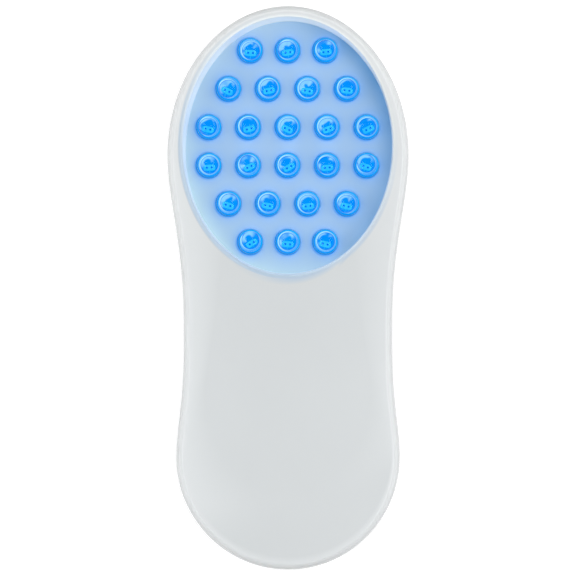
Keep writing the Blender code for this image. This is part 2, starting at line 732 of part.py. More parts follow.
def make_battery_door():
    """Battery door, hinging on the outer edge of its foot end."""
    bm = bmesh.new()
    hinge = Vector((0.0, DOOR_FOOT_Y, 0.0))
    middle = door_middle() - hinge.xy
    edge = DOOR_LAP
    rings = [rounded_ring(middle, DOOR_HALF_WIDTH - edge, DOOR_LENGTH / 2 - edge, DOOR_CORNER - edge, 0.0),
             rounded_ring(middle, DOOR_HALF_WIDTH, DOOR_LENGTH / 2, DOOR_CORNER, edge),
             rounded_ring(middle, DOOR_HALF_WIDTH, DOOR_LENGTH / 2, DOOR_CORNER, WALL)]
    add_loft(bm, rings)
    door = make_object("battery_door", bm, make_material("shell", WHITE_SHELL))
    parts = [door_hooks(), door_latch(), door_ribs()]
    cutter = door_grooves()
    for tool in (*parts, cutter):
        tool.parent = door
    for tool in parts:
        combine(door, tool, "UNION")
    combine(door, cutter, "DIFFERENCE")
    door.location = hinge
    return door


def door_hooks():
    """Two hooks that reach under the shell at the foot end."""
    bm = bmesh.new()
    low = WALL + GAP
    back = DOOR_FOOT_LAP + HOOK_THICK
    profile = [(-HOOK_REACH, low), (DOOR_FOOT_LAP, low), (DOOR_FOOT_LAP, WALL / 2), (back, WALL / 2),
               (back, HOOK_TOP_Z), (-HOOK_REACH, HOOK_TOP_Z)]
    for side in (-1, 1):
        middle = side * HOOK_PLACE_SHARE * BAY_HALF_WIDTH
        ends = (middle - HOOK_WIDTH / 2, middle + HOOK_WIDTH / 2)
        add_loft(bm, [[Vector((x, y, z)) for y, z in profile] for x in ends])
    return make_tool("door_hooks", bm)


def door_latch():
    """The springy leg at the head end, with the bead that snaps behind the rib."""
    bm = bmesh.new()
    outer = DOOR_LENGTH - LATCH_SETBACK
    inner = outer - LATCH_THICK
    half = LATCH_WIDTH / 2
    top = WALL + LATCH_RISE
    profile = [(inner, WALL / 2), (outer, WALL / 2), (outer, top - 3 * LATCH_BEAD),
               (outer + LATCH_BEAD, top - 2 * LATCH_BEAD), (outer, top), (inner, top)]
    ends = [[Vector((x, y, z)) for y, z in profile] for x in (-half, half)]
    add_loft(bm, ends)
    return make_tool("door_latch", bm)


def door_ribs():
    """Ribs inside the door that lie between the cells."""
    bm = bmesh.new()
    cells = cell_places()
    low = DOOR_FOOT_LAP + BAY_LENGTH / 4
    for left, right in zip(cells, cells[1:]):
        x = (left + right) / 2
        add_box(bm, (x - DOOR_RIB_WIDTH / 2, low, WALL / 2),
                (x + DOOR_RIB_WIDTH / 2, low + BAY_LENGTH / 2, WALL + DOOR_RIB_RISE))
    return make_tool("door_ribs", bm)


def door_grooves():
    """Grip grooves across the door near its latch, shortest next to the latch."""
    bm = bmesh.new()
    for index in range(GROOVE_COUNT):
        y = DOOR_LENGTH - GROOVE_SETBACK - index * GROOVE_PITCH
        half = GROOVE_LENGTH / 2 * (1.0 - (GROOVE_COUNT - 1 - index) / (2.0 * GROOVE_COUNT))
        rings = [rounded_ring(Vector((0.0, y)), half - shrink, GROOVE_WIDTH / 2 - shrink,
                              GROOVE_WIDTH / 2 - shrink - GAP / 4, z, 2)
                 for z, shrink in ((-OVERRUN, 0.0), (0.0, 0.0), (GROOVE_DEPTH, GROOVE_DEPTH / 2))]
        add_loft(bm, rings)
    return make_tool("door_grooves", bm)


def oval_plate(name, z_low, z_high, hole_radius, material):
    """An oval plate that fits under the collar, with a round hole for each lamp if asked."""
    bm = bmesh.new()
    loops = [oval_ring(BOARD_LAP, z_low)]
    if hole_radius:
        loops += [circle_ring(place, hole_radius, z_low) for place in lamp_places()]
    edges = []
    for loop in loops:
        verts = [bm.verts.new(point) for point in loop]
        edges += [bm.edges.new((verts[index - 1], verts[index])) for index, _ in enumerate(verts)]
    bmesh.ops.triangle_fill(bm, use_beauty=True, edges=edges)
    lifted = bmesh.ops.extrude_face_region(bm, geom=list(bm.faces))["geom"]
    points = [item for item in lifted if isinstance(item, bmesh.types.BMVert)]
    bmesh.ops.translate(bm, verts=points, vec=(0.0, 0.0, z_high - z_low))
    return make_object(name, bm, material)


def led_mesh():
    """A 5 mm lamp: a flange with one flat side, a straight body and a dome."""
    bm = bmesh.new()
    origin = Vector((0.0, 0.0))
    rings = [circle_ring(origin, LED_FLANGE_RADIUS, z) for z in (0.0, LED_FLANGE_HEIGHT)]
    flat = LED_FLANGE_RADIUS * LED_FLAT_SHARE
    rings = [[Vector((min(point.x, flat), point.y, point.z)) for point in ring] for ring in rings]
    rings.append(circle_ring(origin, LED_RADIUS, LED_FLANGE_HEIGHT))
    shoulder = LED_HEIGHT - LED_RADIUS
    for angle in LED_DOME_DEGREES:
        turn = math.radians(angle)
        radius = LED_RADIUS * math.cos(turn) if angle < 90.0 else 0.0
        rings.append(circle_ring(origin, radius, shoulder + LED_RADIUS * math.sin(turn)))
    add_loft(bm, rings, end_cap=False)
    return finish_mesh("led", bm)


def make_lamps():
    """One lamp at each place of the field, all of one mesh."""
    mesh = led_mesh()
    mesh.materials.append(make_material("lamp", LAMP_BLUE))
    for number, place in enumerate(lamp_places(), start=1):
        lamp = bpy.data.objects.new(f"led_{number:02d}", mesh)
        lamp.location = (place.x, place.y, LED_Z)
        bpy.context.scene.collection.objects.link(lamp)


def make_cell(name, x, plus_at_head):
    """An AAA cell lying along the bay, its nub at one end and a spring's room at the other."""
    bm = bmesh.new()
    inner = CELL_RADIUS - CELL_EDGE
    body = CELL_LENGTH - CELL_NUB_HEIGHT
    profile = [(inner, 0.0), (CELL_RADIUS, CELL_EDGE), (CELL_RADIUS, body - CELL_EDGE), (inner, body),
               (CELL_NUB_RADIUS, body), (CELL_NUB_RADIUS, CELL_LENGTH)]
    add_turned(bm, profile, Vector((0.0, 0.0)))
    cell = make_object(name, bm, make_material("cell", CELL_GREY))
    end = CONTACT_SHEET + 2 * GAP
    if plus_at_head:
        cell.rotation_euler = (-math.pi / 2, 0.0, 0.0)
        cell.location = (x, BAY_HEAD_Y - end - CELL_LENGTH, CELL_Z)
    else:
        cell.rotation_euler = (math.pi / 2, 0.0, 0.0)
        cell.location = (x, BAY_FOOT_Y + end + CELL_LENGTH, CELL_Z)


def make_contact(name, xs, wall_y, inward, tab_x=None):
    """A bent sheet contact against an end wall of the bay, over one cell or two."""
    bm = bmesh.new()
    near = wall_y + inward * GAP
    far = near + inward * CONTACT_SHEET
    low_y, high_y = min(near, far), max(near, far)
    low_x, high_x = min(xs) - CONTACT_WIDTH / 2, max(xs) + CONTACT_WIDTH / 2
    bottom, top = HOOK_TOP_Z + HOOK_ROOM, CELL_Z + CONTACT_RISE
    outline = [(low_x, bottom), (high_x, bottom), (high_x, top)]
    if tab_x is not None:
        half = CONTACT_TAB_WIDTH / 2
        rise = BAY_TOP_Z + CONTACT_TAB_RISE
        outline += [(tab_x + half, top), (tab_x + half, rise), (tab_x - half, rise), (tab_x - half, top)]
    outline.append((low_x, top))
    add_loft(bm, [[Vector((x, y, z)) for x, z in outline] for y in (low_y, high_y)])
    return make_object(name, bm, make_material("contact", STEEL), smooth=False)


def make_spring(name, x, wall_y, inward):
    """A conical contact spring that presses on the flat end of a cell."""
    turns = SPRING_TURNS * SPRING_STEPS
    start = wall_y + inward * (CONTACT_SHEET + 2 * GAP + SPRING_WIRE_RADIUS)
    length = SPRING_SPACE - 2 * SPRING_WIRE_RADIUS
    points = []
    for step in range(turns + 1):
        share = step / turns
        angle = 2.0 * math.pi * step / SPRING_STEPS
        radius = SPRING_FOOT_RADIUS + (SPRING_TIP_RADIUS - SPRING_FOOT_RADIUS) * share
        points.append(Vector((x + radius * math.cos(angle), start + inward * length * share,
                              CELL_Z + radius * math.sin(angle))))
    make_tube(name, points, SPRING_WIRE_RADIUS, make_material("contact", STEEL), 1)
    least = min((points[i] - points[j]).length
                for i in range(turns) for j in range(i + SPRING_STEPS - 1, turns))
    print(f"{name}: least gap between turns {1000 * (least - 2 * SPRING_WIRE_RADIUS):.2f} mm")


def make_tube(name, points, radius, material, resolution=2):
    """A closed round tube along a list of points."""
    curve = bpy.data.curves.new(name, "CURVE")
    curve.dimensions = "3D"
    curve.bevel_depth = radius
    curve.bevel_resolution = resolution
    curve.use_fill_caps = True
    curve.render_resolution_u = 0
    spline = curve.splines.new("POLY")
    spline.points.add(len(points) - 1)
    for spot, point in zip(spline.points, points):
        spot.co = (*point, 1.0)
    curve.materials.append(material)
    tube = bpy.data.objects.new(name, curve)
    bpy.context.scene.collection.objects.link(tube)
    return tube


def smooth_route(knots, count):
    """Points along a smooth curve through a few knots, evenly spaced in the curve's own count."""
    ends = [2 * knots[0] - knots[1], *knots, 2 * knots[-1] - knots[-2]]
    points = []
    for step in range(count):
        place = (len(knots) - 1) * step / (count - 1)
        index = min(int(place), len(knots) - 2)
        t = place - index
        a, b, c, d = ends[index:index + 4]
        points.append(0.5 * (2 * b + (c - a) * t + (2 * a - 5 * b + 4 * c - d) * t * t
                             + (3 * b - a - 3 * c + d) * t ** 3))
    return points


def make_battery_parts():
    """Cells in series, with their contacts and springs."""
    cells = cell_places()
    for number, x in enumerate(cells, start=1):
        make_cell(f"battery_cell_{number}", x, number % 2 == 1)
    (plus_x, plus_y, plus_in), (minus_x, minus_y, minus_in) = tab_places()
    make_contact("contact_positive", [plus_x], plus_y, plus_in, plus_x)
    make_contact("contact_negative", [minus_x], minus_y, minus_in, minus_x)
    make_contact("contact_bridge_foot", cells[:2], BAY_FOOT_Y, 1)
    make_contact("contact_bridge_head", cells[1:], BAY_HEAD_Y, -1)
    make_spring("contact_spring_1", cells[0], BAY_FOOT_Y, 1)
    make_spring("contact_spring_2", cells[1], BAY_HEAD_Y, -1)
    make_spring("contact_spring_3", cells[2], BAY_FOOT_Y, 1)


def make_button():
    """Push button in the dish of the back, held in by its flange."""
    bm = bmesh.new()
    flange_top = BUTTON_FLANGE_Z + BUTTON_FLANGE_HEIGHT
    wide = BUTTON_RADIUS + BUTTON_FLANGE
    soft = BUTTON_DOME
    profile = [(0.0, BUTTON_RECESS), (BUTTON_RADIUS / 2, BUTTON_RECESS + soft / 4),
               (BUTTON_RADIUS - soft, BUTTON_RECESS + soft), (BUTTON_RADIUS, BUTTON_RECESS + 2 * soft),
               (BUTTON_RADIUS, BUTTON_FLANGE_Z), (wide, BUTTON_FLANGE_Z), (wide, flange_top),
               (BUTTON_STEM_RADIUS, flange_top), (BUTTON_STEM_RADIUS, BUTTON_TOP_Z)]
    add_turned(bm, profile, Vector((0.0, 0.0)), BROAD_STEPS)
    button = make_object("power_button", bm, make_material("button", BUTTON_GREY))
    button.location = (0.0, WINDOW_Y, 0.0)


def make_switch():
    """Tact switch under the control board, with the plunger that slides in its bore."""
    place = Vector((0.0, WINDOW_Y))
    bm = bmesh.new()
    half = SWITCH_SIDE / 2
    rings = [rounded_ring(place, half, half, COMPONENT_EDGE, z, 1)
             for z in (SWITCH_Z, SWITCH_Z + SWITCH_HEIGHT)]
    add_loft(bm, rings)
    switch = make_object("tact_switch", bm, make_material("black_plastic", BLACK_PLASTIC), smooth=False)
    bore = bmesh.new()
    depth = PLUNGER_IN + BUTTON_TRAVEL + GAP
    bore_radius = PLUNGER_RADIUS + GAP
    add_turned(bore, [(bore_radius, SWITCH_Z - OVERRUN), (bore_radius, SWITCH_Z + depth)], place)
    combine(switch, make_tool("switch_bore", bore), "DIFFERENCE")
    pin = bmesh.new()
    add_turned(pin, [(PLUNGER_RADIUS, 0.0), (PLUNGER_RADIUS, PLUNGER_OUT + PLUNGER_IN)], Vector((0.0, 0.0)))
    plunger = make_object("switch_plunger", pin, make_material("button", BUTTON_GREY))
    plunger.location = (place.x, place.y, PLUNGER_Z)


def board_spot(shares, half_x, half_y):
    """A place on the control board, as shares of the room that a component has on it."""
    x = shares[0] * (CONTROL_BOARD_HALF_WIDTH - half_x - COMPONENT_EDGE)
    y = shares[1] * (CONTROL_BOARD_HALF_LENGTH - half_y - COMPONENT_EDGE)
    return Vector((x, WINDOW_Y + y))


def connector_spot():
    """Where the wire connector stands on the control board."""
    return board_spot(CONNECTOR_SPOT_SHARES, CONNECTOR_WIDTH / 2, CONNECTOR_DEPTH / 2)


def make_control_board():
    """Control board on its posts, with chip, capacitor, buzzer and connector on top."""
    bm = bmesh.new()
    middle = Vector((0.0, WINDOW_Y))
    half_x, half_y = CONTROL_BOARD_HALF_WIDTH, CONTROL_BOARD_HALF_LENGTH
    rings = [rounded_ring(middle, half_x, half_y, CONTROL_BOARD_CORNER, z)
             for z in (CONTROL_BOARD_Z, CONTROL_BOARD_TOP)]
    add_loft(bm, rings)
    make_object("control_board", bm, make_material("board", BOARD_GREEN), smooth=False)
    seat = CONTROL_BOARD_TOP + GAP
    make_block("control_chip", board_spot(CHIP_SPOT_SHARES, CHIP_LENGTH / 2, CHIP_WIDTH / 2),
               CHIP_LENGTH / 2, CHIP_WIDTH / 2, seat, CHIP_HEIGHT, "black_plastic", BLACK_PLASTIC)
    make_block("wire_connector", connector_spot(),
               CONNECTOR_WIDTH / 2, CONNECTOR_DEPTH / 2, seat, CONNECTOR_HEIGHT, "connector", CREAM_PLASTIC)
    make_capacitor(board_spot(CAPACITOR_SPOT_SHARES, CAPACITOR_LENGTH / 2, CAPACITOR_RADIUS), seat)
    make_buzzer(board_spot(BUZZER_SPOT_SHARES, BUZZER_RADIUS, BUZZER_RADIUS), seat)


def make_block(name, place, half_x, half_y, z, height, slot, look):
    """A small moulded component with softened upright corners."""
    bm = bmesh.new()
    rings = [rounded_ring(place, half_x, half_y, COMPONENT_EDGE, level, 1) for level in (z, z + height)]
    add_loft(bm, rings)
    make_object(name, bm, make_material(slot, look), smooth=False)


def make_capacitor(place, z):
    """Electrolytic capacitor lying on the board."""
    bm = bmesh.new()
    edge = CELL_EDGE
    profile = [(CAPACITOR_RADIUS - edge, 0.0), (CAPACITOR_RADIUS, edge),
               (CAPACITOR_RADIUS, CAPACITOR_LENGTH - edge), (CAPACITOR_RADIUS - edge, CAPACITOR_LENGTH)]
    add_turned(bm, profile, Vector((0.0, 0.0)), 12)
    can = make_object("capacitor", bm, make_material("capacitor", CELL_GREY))
    can.rotation_euler = (0.0, math.pi / 2, 0.0)
    can.location = (place.x - CAPACITOR_LENGTH / 2, place.y, z + CAPACITOR_RADIUS)


def make_buzzer(place, z):
    """Round buzzer with its sound hole."""
    bm = bmesh.new()
    edge = CELL_EDGE
    top = BUZZER_HEIGHT
    profile = [(BUZZER_RADIUS, 0.0), (BUZZER_RADIUS, top - edge), (BUZZER_RADIUS - edge, top),
               (BUZZER_HOLE_RADIUS, top), (BUZZER_HOLE_RADIUS, top / 2), (0.0, top / 2)]
    add_turned(bm, profile, Vector((0.0, 0.0)))
    buzzer = make_object("buzzer", bm, make_material("black_plastic", BLACK_PLASTIC))
    buzzer.location = (place.x, place.y, z)


def make_screws():
    """The casing screws, driven from the back into the front shell's bosses."""
    bm = bmesh.new()
    origin = Vector((0.0, 0.0))
    tip = PART_Z + SCREW_BITE - SCREW_SINK
    profile = [(SCREW_HEAD_RADIUS, 0.0), (SCREW_HEAD_RADIUS, SCREW_HEAD_HEIGHT / 2),
               (SCREW_RADIUS, SCREW_HEAD_HEIGHT), (SCREW_RADIUS, tip - SCREW_TIP), (0.0, tip)]
    add_turned(bm, profile, origin)
    mesh = finish_mesh("screw", bm)
    mesh.materials.append(make_material("screw", STEEL))
    for number, place in enumerate(screw_places(), start=1):
        screw = bpy.data.objects.new(f"casing_screw_{number}", mesh)
        screw.location = (place.x, place.y, SCREW_SINK)
        bpy.context.scene.collection.objects.link(screw)


def make_wires():
    """Battery leads over the bay, and the pair that feeds the lamp board."""
    (plus_x, plus_y, plus_in), (minus_x, minus_y, minus_in) = tab_places()
    over = BAY_TOP_Z + GAP + WIRE_RADIUS
    tab_top = BAY_TOP_Z + CONTACT_TAB_RISE + GAP + WIRE_RADIUS
    plug = connector_spot()
    plug_y = plug.y - CONNECTOR_DEPTH / 2 - GAP
    plug_z = CONTROL_BOARD_TOP + GAP + CONNECTOR_HEIGHT / 2
    approach = plug_y - 4 * WIRE_RADIUS
    end_y = BAY_HEAD_Y + BAY_WALL
    red_x, black_x = plug.x - 2 * WIRE_RADIUS, plug.x + 2 * WIRE_RADIUS
    red = [Vector((plus_x, plus_y + plus_in * (GAP + CONTACT_SHEET / 2), tab_top)),
           Vector((plus_x + CELL_RADIUS / 2, end_y, over)),
           Vector((red_x - WIRE_RADIUS, end_y + 8 * WIRE_RADIUS, plug_z + WIRE_RADIUS)),
           Vector((red_x, approach, plug_z)), Vector((red_x, plug_y, plug_z))]
    make_tube("wire_positive", smooth_route(red, WIRE_POINTS), WIRE_RADIUS,
              make_material("wire_red", RED_WIRE))
    black = [Vector((minus_x, minus_y + minus_in * (GAP + CONTACT_SHEET / 2), tab_top)),
             Vector((minus_x - CELL_PITCH / 8, BAY_FOOT_Y + BAY_LENGTH / 5, over)),
             Vector((minus_x, BAY_FOOT_Y + BAY_LENGTH / 2, over)),
             Vector((minus_x - CELL_PITCH / 4, BAY_HEAD_Y - BAY_LENGTH / 8, over)),
             Vector((black_x + CELL_PITCH / 4, end_y, over)),
             Vector((black_x + WIRE_RADIUS, end_y + 8 * WIRE_RADIUS, plug_z + WIRE_RADIUS)),
             Vector((black_x, approach, plug_z)), Vector((black_x, plug_y, plug_z))]
    make_tube("wire_negative", smooth_route(black, 2 * WIRE_POINTS), WIRE_RADIUS,
              make_material("wire_black", BLACK_WIRE))
    make_lamp_leads()


def make_lamp_leads():
    """Two short leads from the control board up to the lamp board."""
    low = CONTROL_BOARD_TOP + GAP
    high = LED_BOARD_Z - GAP
    x = CONTROL_BOARD_HALF_WIDTH - BOARD_POST_INSET
    bow = 3 * WIRE_RADIUS
    for name, side, slot, look in (("lamp_lead_positive", -1, "wire_red", RED_WIRE),
                                   ("lamp_lead_negative", 1, "wire_black", BLACK_WIRE)):
        middle = (low + high) / 2
        knots = [Vector((side * x, WINDOW_Y, low)), Vector((side * (x + bow / 2), WINDOW_Y - bow, middle)),
                 Vector((side * x, WINDOW_Y - 2 * bow, high))]
        make_tube(name, smooth_route(knots, WIRE_POINTS // 2), WIRE_RADIUS, make_material(slot, look))


def clear_scene():
    """Start from an empty scene."""
    for item in list(bpy.data.objects):
        bpy.data.objects.remove(item)


def main():
    clear_scene()
    make_front_shell()
    make_back_shell()
    make_battery_door()
    hole = LED_FLANGE_RADIUS + GAP / 3
    oval_plate("lamp_panel", LED_BOARD_TOP + GAP, PANEL_TOP, hole, make_material("panel", PANEL_BLUE))
    oval_plate("led_board", LED_BOARD_Z, LED_BOARD_TOP, 0.0, make_material("lamp_board", BOARD_WHITE))
    make_lamps()
    make_control_board()
    make_button()
    make_switch()
    make_battery_parts()
    make_screws()
    make_wires()


main()
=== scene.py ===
"""Looks for the hand-held blue light device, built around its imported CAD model.

Metres, +Z up, in the CAD model's own frame: +Y points to the head with the lamp window, the front
faces up, and the back with the battery door and the button lies on the floor. The camera looks
straight down on the front.
"""

import math
from itertools import repeat

import bmesh
import bpy
from mathutils import Matrix, Vector, geometry, noise


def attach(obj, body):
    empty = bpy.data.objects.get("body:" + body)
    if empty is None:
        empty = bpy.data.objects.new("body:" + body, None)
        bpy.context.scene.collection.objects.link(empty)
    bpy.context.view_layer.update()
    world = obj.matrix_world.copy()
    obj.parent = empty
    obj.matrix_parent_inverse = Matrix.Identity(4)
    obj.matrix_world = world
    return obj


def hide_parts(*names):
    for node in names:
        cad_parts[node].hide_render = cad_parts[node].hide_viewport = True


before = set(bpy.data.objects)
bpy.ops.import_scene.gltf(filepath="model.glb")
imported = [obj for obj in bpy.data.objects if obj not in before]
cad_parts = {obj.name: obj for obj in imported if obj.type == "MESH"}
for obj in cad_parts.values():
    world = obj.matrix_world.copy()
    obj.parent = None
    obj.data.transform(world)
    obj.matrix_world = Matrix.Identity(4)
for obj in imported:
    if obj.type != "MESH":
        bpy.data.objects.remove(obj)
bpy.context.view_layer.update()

# Clearances and steps
GAP = 0.0003
OVERRUN = 0.0012
MERGE = 0.000002
HOLE_STEPS = 64
CORNER_STEPS = 8
EDGE_ROUND = 0.0003
ROUND_STEPS = 5

# Lamps: standard 5 mm parts, in six rows
LAMP_ROWS = (3, 4, 5, 5, 4, 3)
LAMP_PITCH = 0.00943
LAMP_PITCH_IN_THREES = 0.00898
LAMP_ROW_PITCH = 0.00916
LED_FLANGE_RADIUS = 0.0029
LED_FLANGE_HEIGHT = 0.001
LED_RADIUS = 0.0025
LED_HEIGHT = 0.0086
LED_EDGE = 0.00012
LED_STEPS = 64
LED_DOME_STEPS = 20

# Inside each lamp
CORE_LIFT = 0.00015
CORE_RINGS = 14
CUP_RADIUS = 0.0011
CUP_FLOOR_RADIUS = 0.00062
CUP_MOUTH = 0.00092
CUP_RING = 0.00002
CUP_STEPS = 7
CUP_ROUND_STEPS = 40
CUP_TOP = 0.0047
CUP_DEPTH = 0.00042
CUP_WALL = 0.00012
FRAME_THICK = 0.00048
ANVIL_LOW = 0.0026
ANVIL_FOOT_HALF = 0.0003
POST_GAP = 0.00032
POST_WIDTH = 0.0007
POST_TOP = 0.0049
HEAD_NEAR = -0.00002
HEAD_FAR = 0.0007
HEAD_MIDDLE = (HEAD_NEAR + HEAD_FAR) / 2
HEAD_HALF = 0.0007
HEAD_THICK = 0.00016
HEAD_SQUARENESS = 0.6
HEAD_ROUND_STEPS = 32
BOND_HALF = 0.00002
PIT_RADIUS = 0.00014
PIT_OUT = 0.0003
PIT_STEPS = 16
FRAME_TURN = 0.9
FRAME_LEAN = 0.03
FRAME_STRAY = 0.00008

# Painted light inside each lamp: the bright sides, and how far the painted highlights of the rim and the cap reach
CORE_SIDE = (0.66, 0.75)
CORE_LEAST = 0.2
CUP_SIDE = (-0.85, 0.5)
CAP_SIDE = (-0.55, 0.83)
CAP_SHARE = 0.6
CAP_START = 0.52
CAP_RUN = 0.16
RIM_LEAST = 0.28

# Window and the rim of casing around it
WINDOW_SIDE_MARGIN = 0.00308
WINDOW_END_MARGIN = 0.00474
RIM_SIDE = 0.00408
RIM_TOP = 0.00302
WELL_DRAFT = 0.00015
WALL_LEAN = 0.0009
LIP_ROUND = 0.0013
LIP_LEAST = 0.3
LIP_START = 0.2
LIP_RUN = 1.1
LIP_STEPS = 10
COLLAR_WALL = 0.0026
RIM_OVER_LAMPS = 0.0008

# Casing
WALL = 0.0018
FACE_WALL = 0.002
SEAM = 0.0003
SEAM_ROUND = 0.00022
SEAM_ROWS = 3
INSIDE_ROWS = 4
EDGE_RUN = 0.0018
EDGE_DROP = 0.0036
EDGE_STEPS = 14
EDGE_END_TURN = math.radians(86.8)
SIDE_DRAFT = 0.0003
CROWN = 0.0016
FACE_STEPS = 44
BACK_RUN = 0.0072
BACK_RISE = 0.0078
BACK_STEPS = 18
PART_LINE_SHARE = 0.48
TONGUE_HEIGHT = 0.0014
TONGUE_WALL = 0.001
TONGUE_ROOT = 0.0022
HEAD_STEPS = 150
SIDE_STEPS = 90
FOOT_STEPS = 110

# Handle: three AAA cells side by side
CELL_RADIUS = 0.0052
CELL_LENGTH = 0.0445
CELL_COUNT = 3
CELL_PITCH = 0.0109
CELL_PLAY = 0.0004
SPRING_SPACE = 0.0032
CONTACT_SHEET = 0.0004
BAY_WALL = 0.0015
DOOR_LAP = 0.0003
DOOR_FOOT_LAP = 0.0015
DOOR_FLAT_MARGIN = 0.0007
DOOR_UNDER_WINDOW = 0.0009
FOOT_FLARE = 0.0018
FOOT_REACH = 0.0271
FOOT_MARGIN = 0.0159
WAIST_SHARE = 0.4
HEAD_BLEND_POWER = 1.4
FOOT_BLEND_POWER = 1.5
WINDOW_OFF_HEAD = 0.0022
WIRE_SPACE = 0.0056
RISE_START_SHARE = 0.2
RISE_END_SHARE = 0.8
CELL_NUB_RADIUS = 0.0019
CELL_NUB_HEIGHT = 0.001
CELL_EDGE = 0.0003
CONTACT_TAB_WIDTH = 0.0022
SPRING_WIRE_RADIUS = 0.00025
SPRING_FOOT_RADIUS = 0.0031
SPRING_TIP_RADIUS = 0.0017
SPRING_TURNS = 3
SPRING_STEPS = 28
WIRE_SIDES = 10

# Door, with its hooks, latch, ribs and grip grooves
DOOR_CORNER = 0.004
HOOK_WIDTH = 0.005
HOOK_REACH = 0.0015
HOOK_THICK = 0.0012
HOOK_ROOM = 0.0007
HOOK_PLACE_SHARE = 0.6
LATCH_WIDTH = 0.008
LATCH_THICK = 0.0012
LATCH_RISE = 0.0046
LATCH_SETBACK = 0.001
LATCH_ROOM = 0.0008
LATCH_BEAD = 0.0005
LATCH_BEAD_STEPS = 8
CATCH_WALL = 0.0014
DOOR_RIB_WIDTH = 0.001
DOOR_RIB_RISE = 0.0012
GROOVE_COUNT = 5
GROOVE_WIDTH = 0.0011
GROOVE_DEPTH = 0.0005
GROOVE_PITCH = 0.0022
GROOVE_LENGTH = 0.015
GROOVE_SETBACK = 0.0022
GROOVE_STEPS = 7
THUMB_RADIUS = 0.0068
THUMB_DEPTH = 0.0015
THUMB_PAD = 0.0013

# Button, and the dish round it
BUTTON_RADIUS = 0.006
BUTTON_DOME = 0.0003
BUTTON_RECESS = 0.0006
BUTTON_FLANGE = 0.0012
BUTTON_FLANGE_HEIGHT = 0.001
BUTTON_STEM_RADIUS = 0.002
BUTTON_STEM_HEIGHT = 0.0008
BUTTON_DISH_MARGIN = 0.005
BUTTON_DISH_DEPTH = 0.0007
BUTTON_HOLLOW = 0.00035
BUTTON_ROUND_STEPS = 8

# Screws, and the posts inside the back
SCREW_HEAD_RADIUS = 0.0021
SCREW_HEAD_HEIGHT = 0.0014
SCREW_RADIUS = 0.0011
SCREW_BITE = 0.005
SCREW_TIP = 0.001
SCREW_SINK = 0.0026
SCREW_PLAY = 0.0003
SLOT_WIDTH = 0.0005
SLOT_DEPTH = 0.0009
SLOT_REACH = 0.0013
SLOT_TAPER = 0.5
SLOT_TURN = 0.7
BOSS_WALL = 0.0014
FOOT_SCREW_SHARE = 0.28
CONTROL_BOARD_HALF_WIDTH = 0.0135
CONTROL_BOARD_HALF_LENGTH = 0.0135
BOARD_POST_RADIUS = 0.0018
BOARD_POST_INSET = 0.0022
LAMP_POST_RADIUS = 0.002
LAMP_POST_OUT = 0.0042

# Heights that set the stack of pieces
BUTTON_STACK = 0.0102
COMPONENT_SPACE = 0.0063
LED_BOARD_THICK = 0.0016
PANEL_THICK = 0.002

# Plate under the window: its mesh, and the painted light and painted shadow round its holes and along its border
PANEL_STEPS = 240
PANEL_EDGE = 0.00014
PANEL_EDGE_STEPS = 4
PANEL_RINGS = (0.0003, 0.0007, 0.0012)
PANEL_GRID = 0.0006
PANEL_GRID_SHARE = 0.985
PANEL_GRID_OFF = 0.0018
PANEL_MERGE = 1e-7
HOLE_RADIUS = LED_FLANGE_RADIUS + GAP / 3
HALO_SHIFT = Vector((-0.00017, -0.00017))
HALO_REACH = 0.00085
HALO_RING = 0.00022
GLOW_REACH = 0.0032
GLOW_POWER = 1.5
GLOW_LEAST = 0.08
GLOW_TOP = 0.3
SHADE_REACH = 0.0034
SHADE_POWER = 1.6
SHADE_START = 0.15
SHADE_RUN = 0.75
SHADE_FLAT = 0.55
SHADE_DEEP = 0.45
DEEP_POWER = 6

# Window and body plan
WINDOW_HALF_WIDTH = (max(LAMP_ROWS) - 1) / 2 * LAMP_PITCH + LED_FLANGE_RADIUS + WINDOW_SIDE_MARGIN
WINDOW_HALF_LENGTH = (len(LAMP_ROWS) - 1) / 2 * LAMP_ROW_PITCH + LED_FLANGE_RADIUS + WINDOW_END_MARGIN
HEAD_HALF_WIDTH = WINDOW_HALF_WIDTH + RIM_SIDE
HEAD_REACH = WINDOW_OFF_HEAD + WINDOW_HALF_LENGTH + RIM_TOP
BOARD_LAP = min(RIM_TOP, RIM_SIDE) - WALL - SIDE_DRAFT - GAP
BAY_HALF_WIDTH = (CELL_COUNT - 1) / 2 * CELL_PITCH + CELL_RADIUS + CELL_PLAY
BAY_LENGTH = CELL_LENGTH + SPRING_SPACE + 2 * CONTACT_SHEET + 5 * GAP
DOOR_HALF_WIDTH = BAY_HALF_WIDTH + DOOR_LAP
DOOR_LENGTH = DOOR_FOOT_LAP + BAY_LENGTH + BAY_WALL + LATCH_ROOM + LATCH_THICK + LATCH_SETBACK
WAIST_HALF_WIDTH = DOOR_HALF_WIDTH + GAP + DOOR_FLAT_MARGIN + BACK_RUN
FOOT_HALF_WIDTH = WAIST_HALF_WIDTH + FOOT_FLARE
BODY_LENGTH = RIM_TOP + 2 * WINDOW_HALF_LENGTH - DOOR_UNDER_WINDOW + DOOR_LENGTH + FOOT_MARGIN
HEAD_Y = BODY_LENGTH / 2 - HEAD_REACH
FOOT_Y = FOOT_REACH - BODY_LENGTH / 2
WAIST_Y = FOOT_Y + WAIST_SHARE * (HEAD_Y - FOOT_Y)
WINDOW_Y = HEAD_Y + WINDOW_OFF_HEAD
WINDOW_CENTRE = Vector((0.0, WINDOW_Y))
DOOR_FOOT_Y = FOOT_MARGIN - BODY_LENGTH / 2
DOOR_HEAD_Y = DOOR_FOOT_Y + DOOR_LENGTH
BAY_FOOT_Y = DOOR_FOOT_Y + DOOR_FOOT_LAP
BAY_HEAD_Y = BAY_FOOT_Y + BAY_LENGTH
DOOR_Y = (DOOR_FOOT_Y + DOOR_HEAD_Y) / 2
BAY_Y = (BAY_FOOT_Y + BAY_HEAD_Y) / 2
CATCH_Y = DOOR_HEAD_Y + GAP

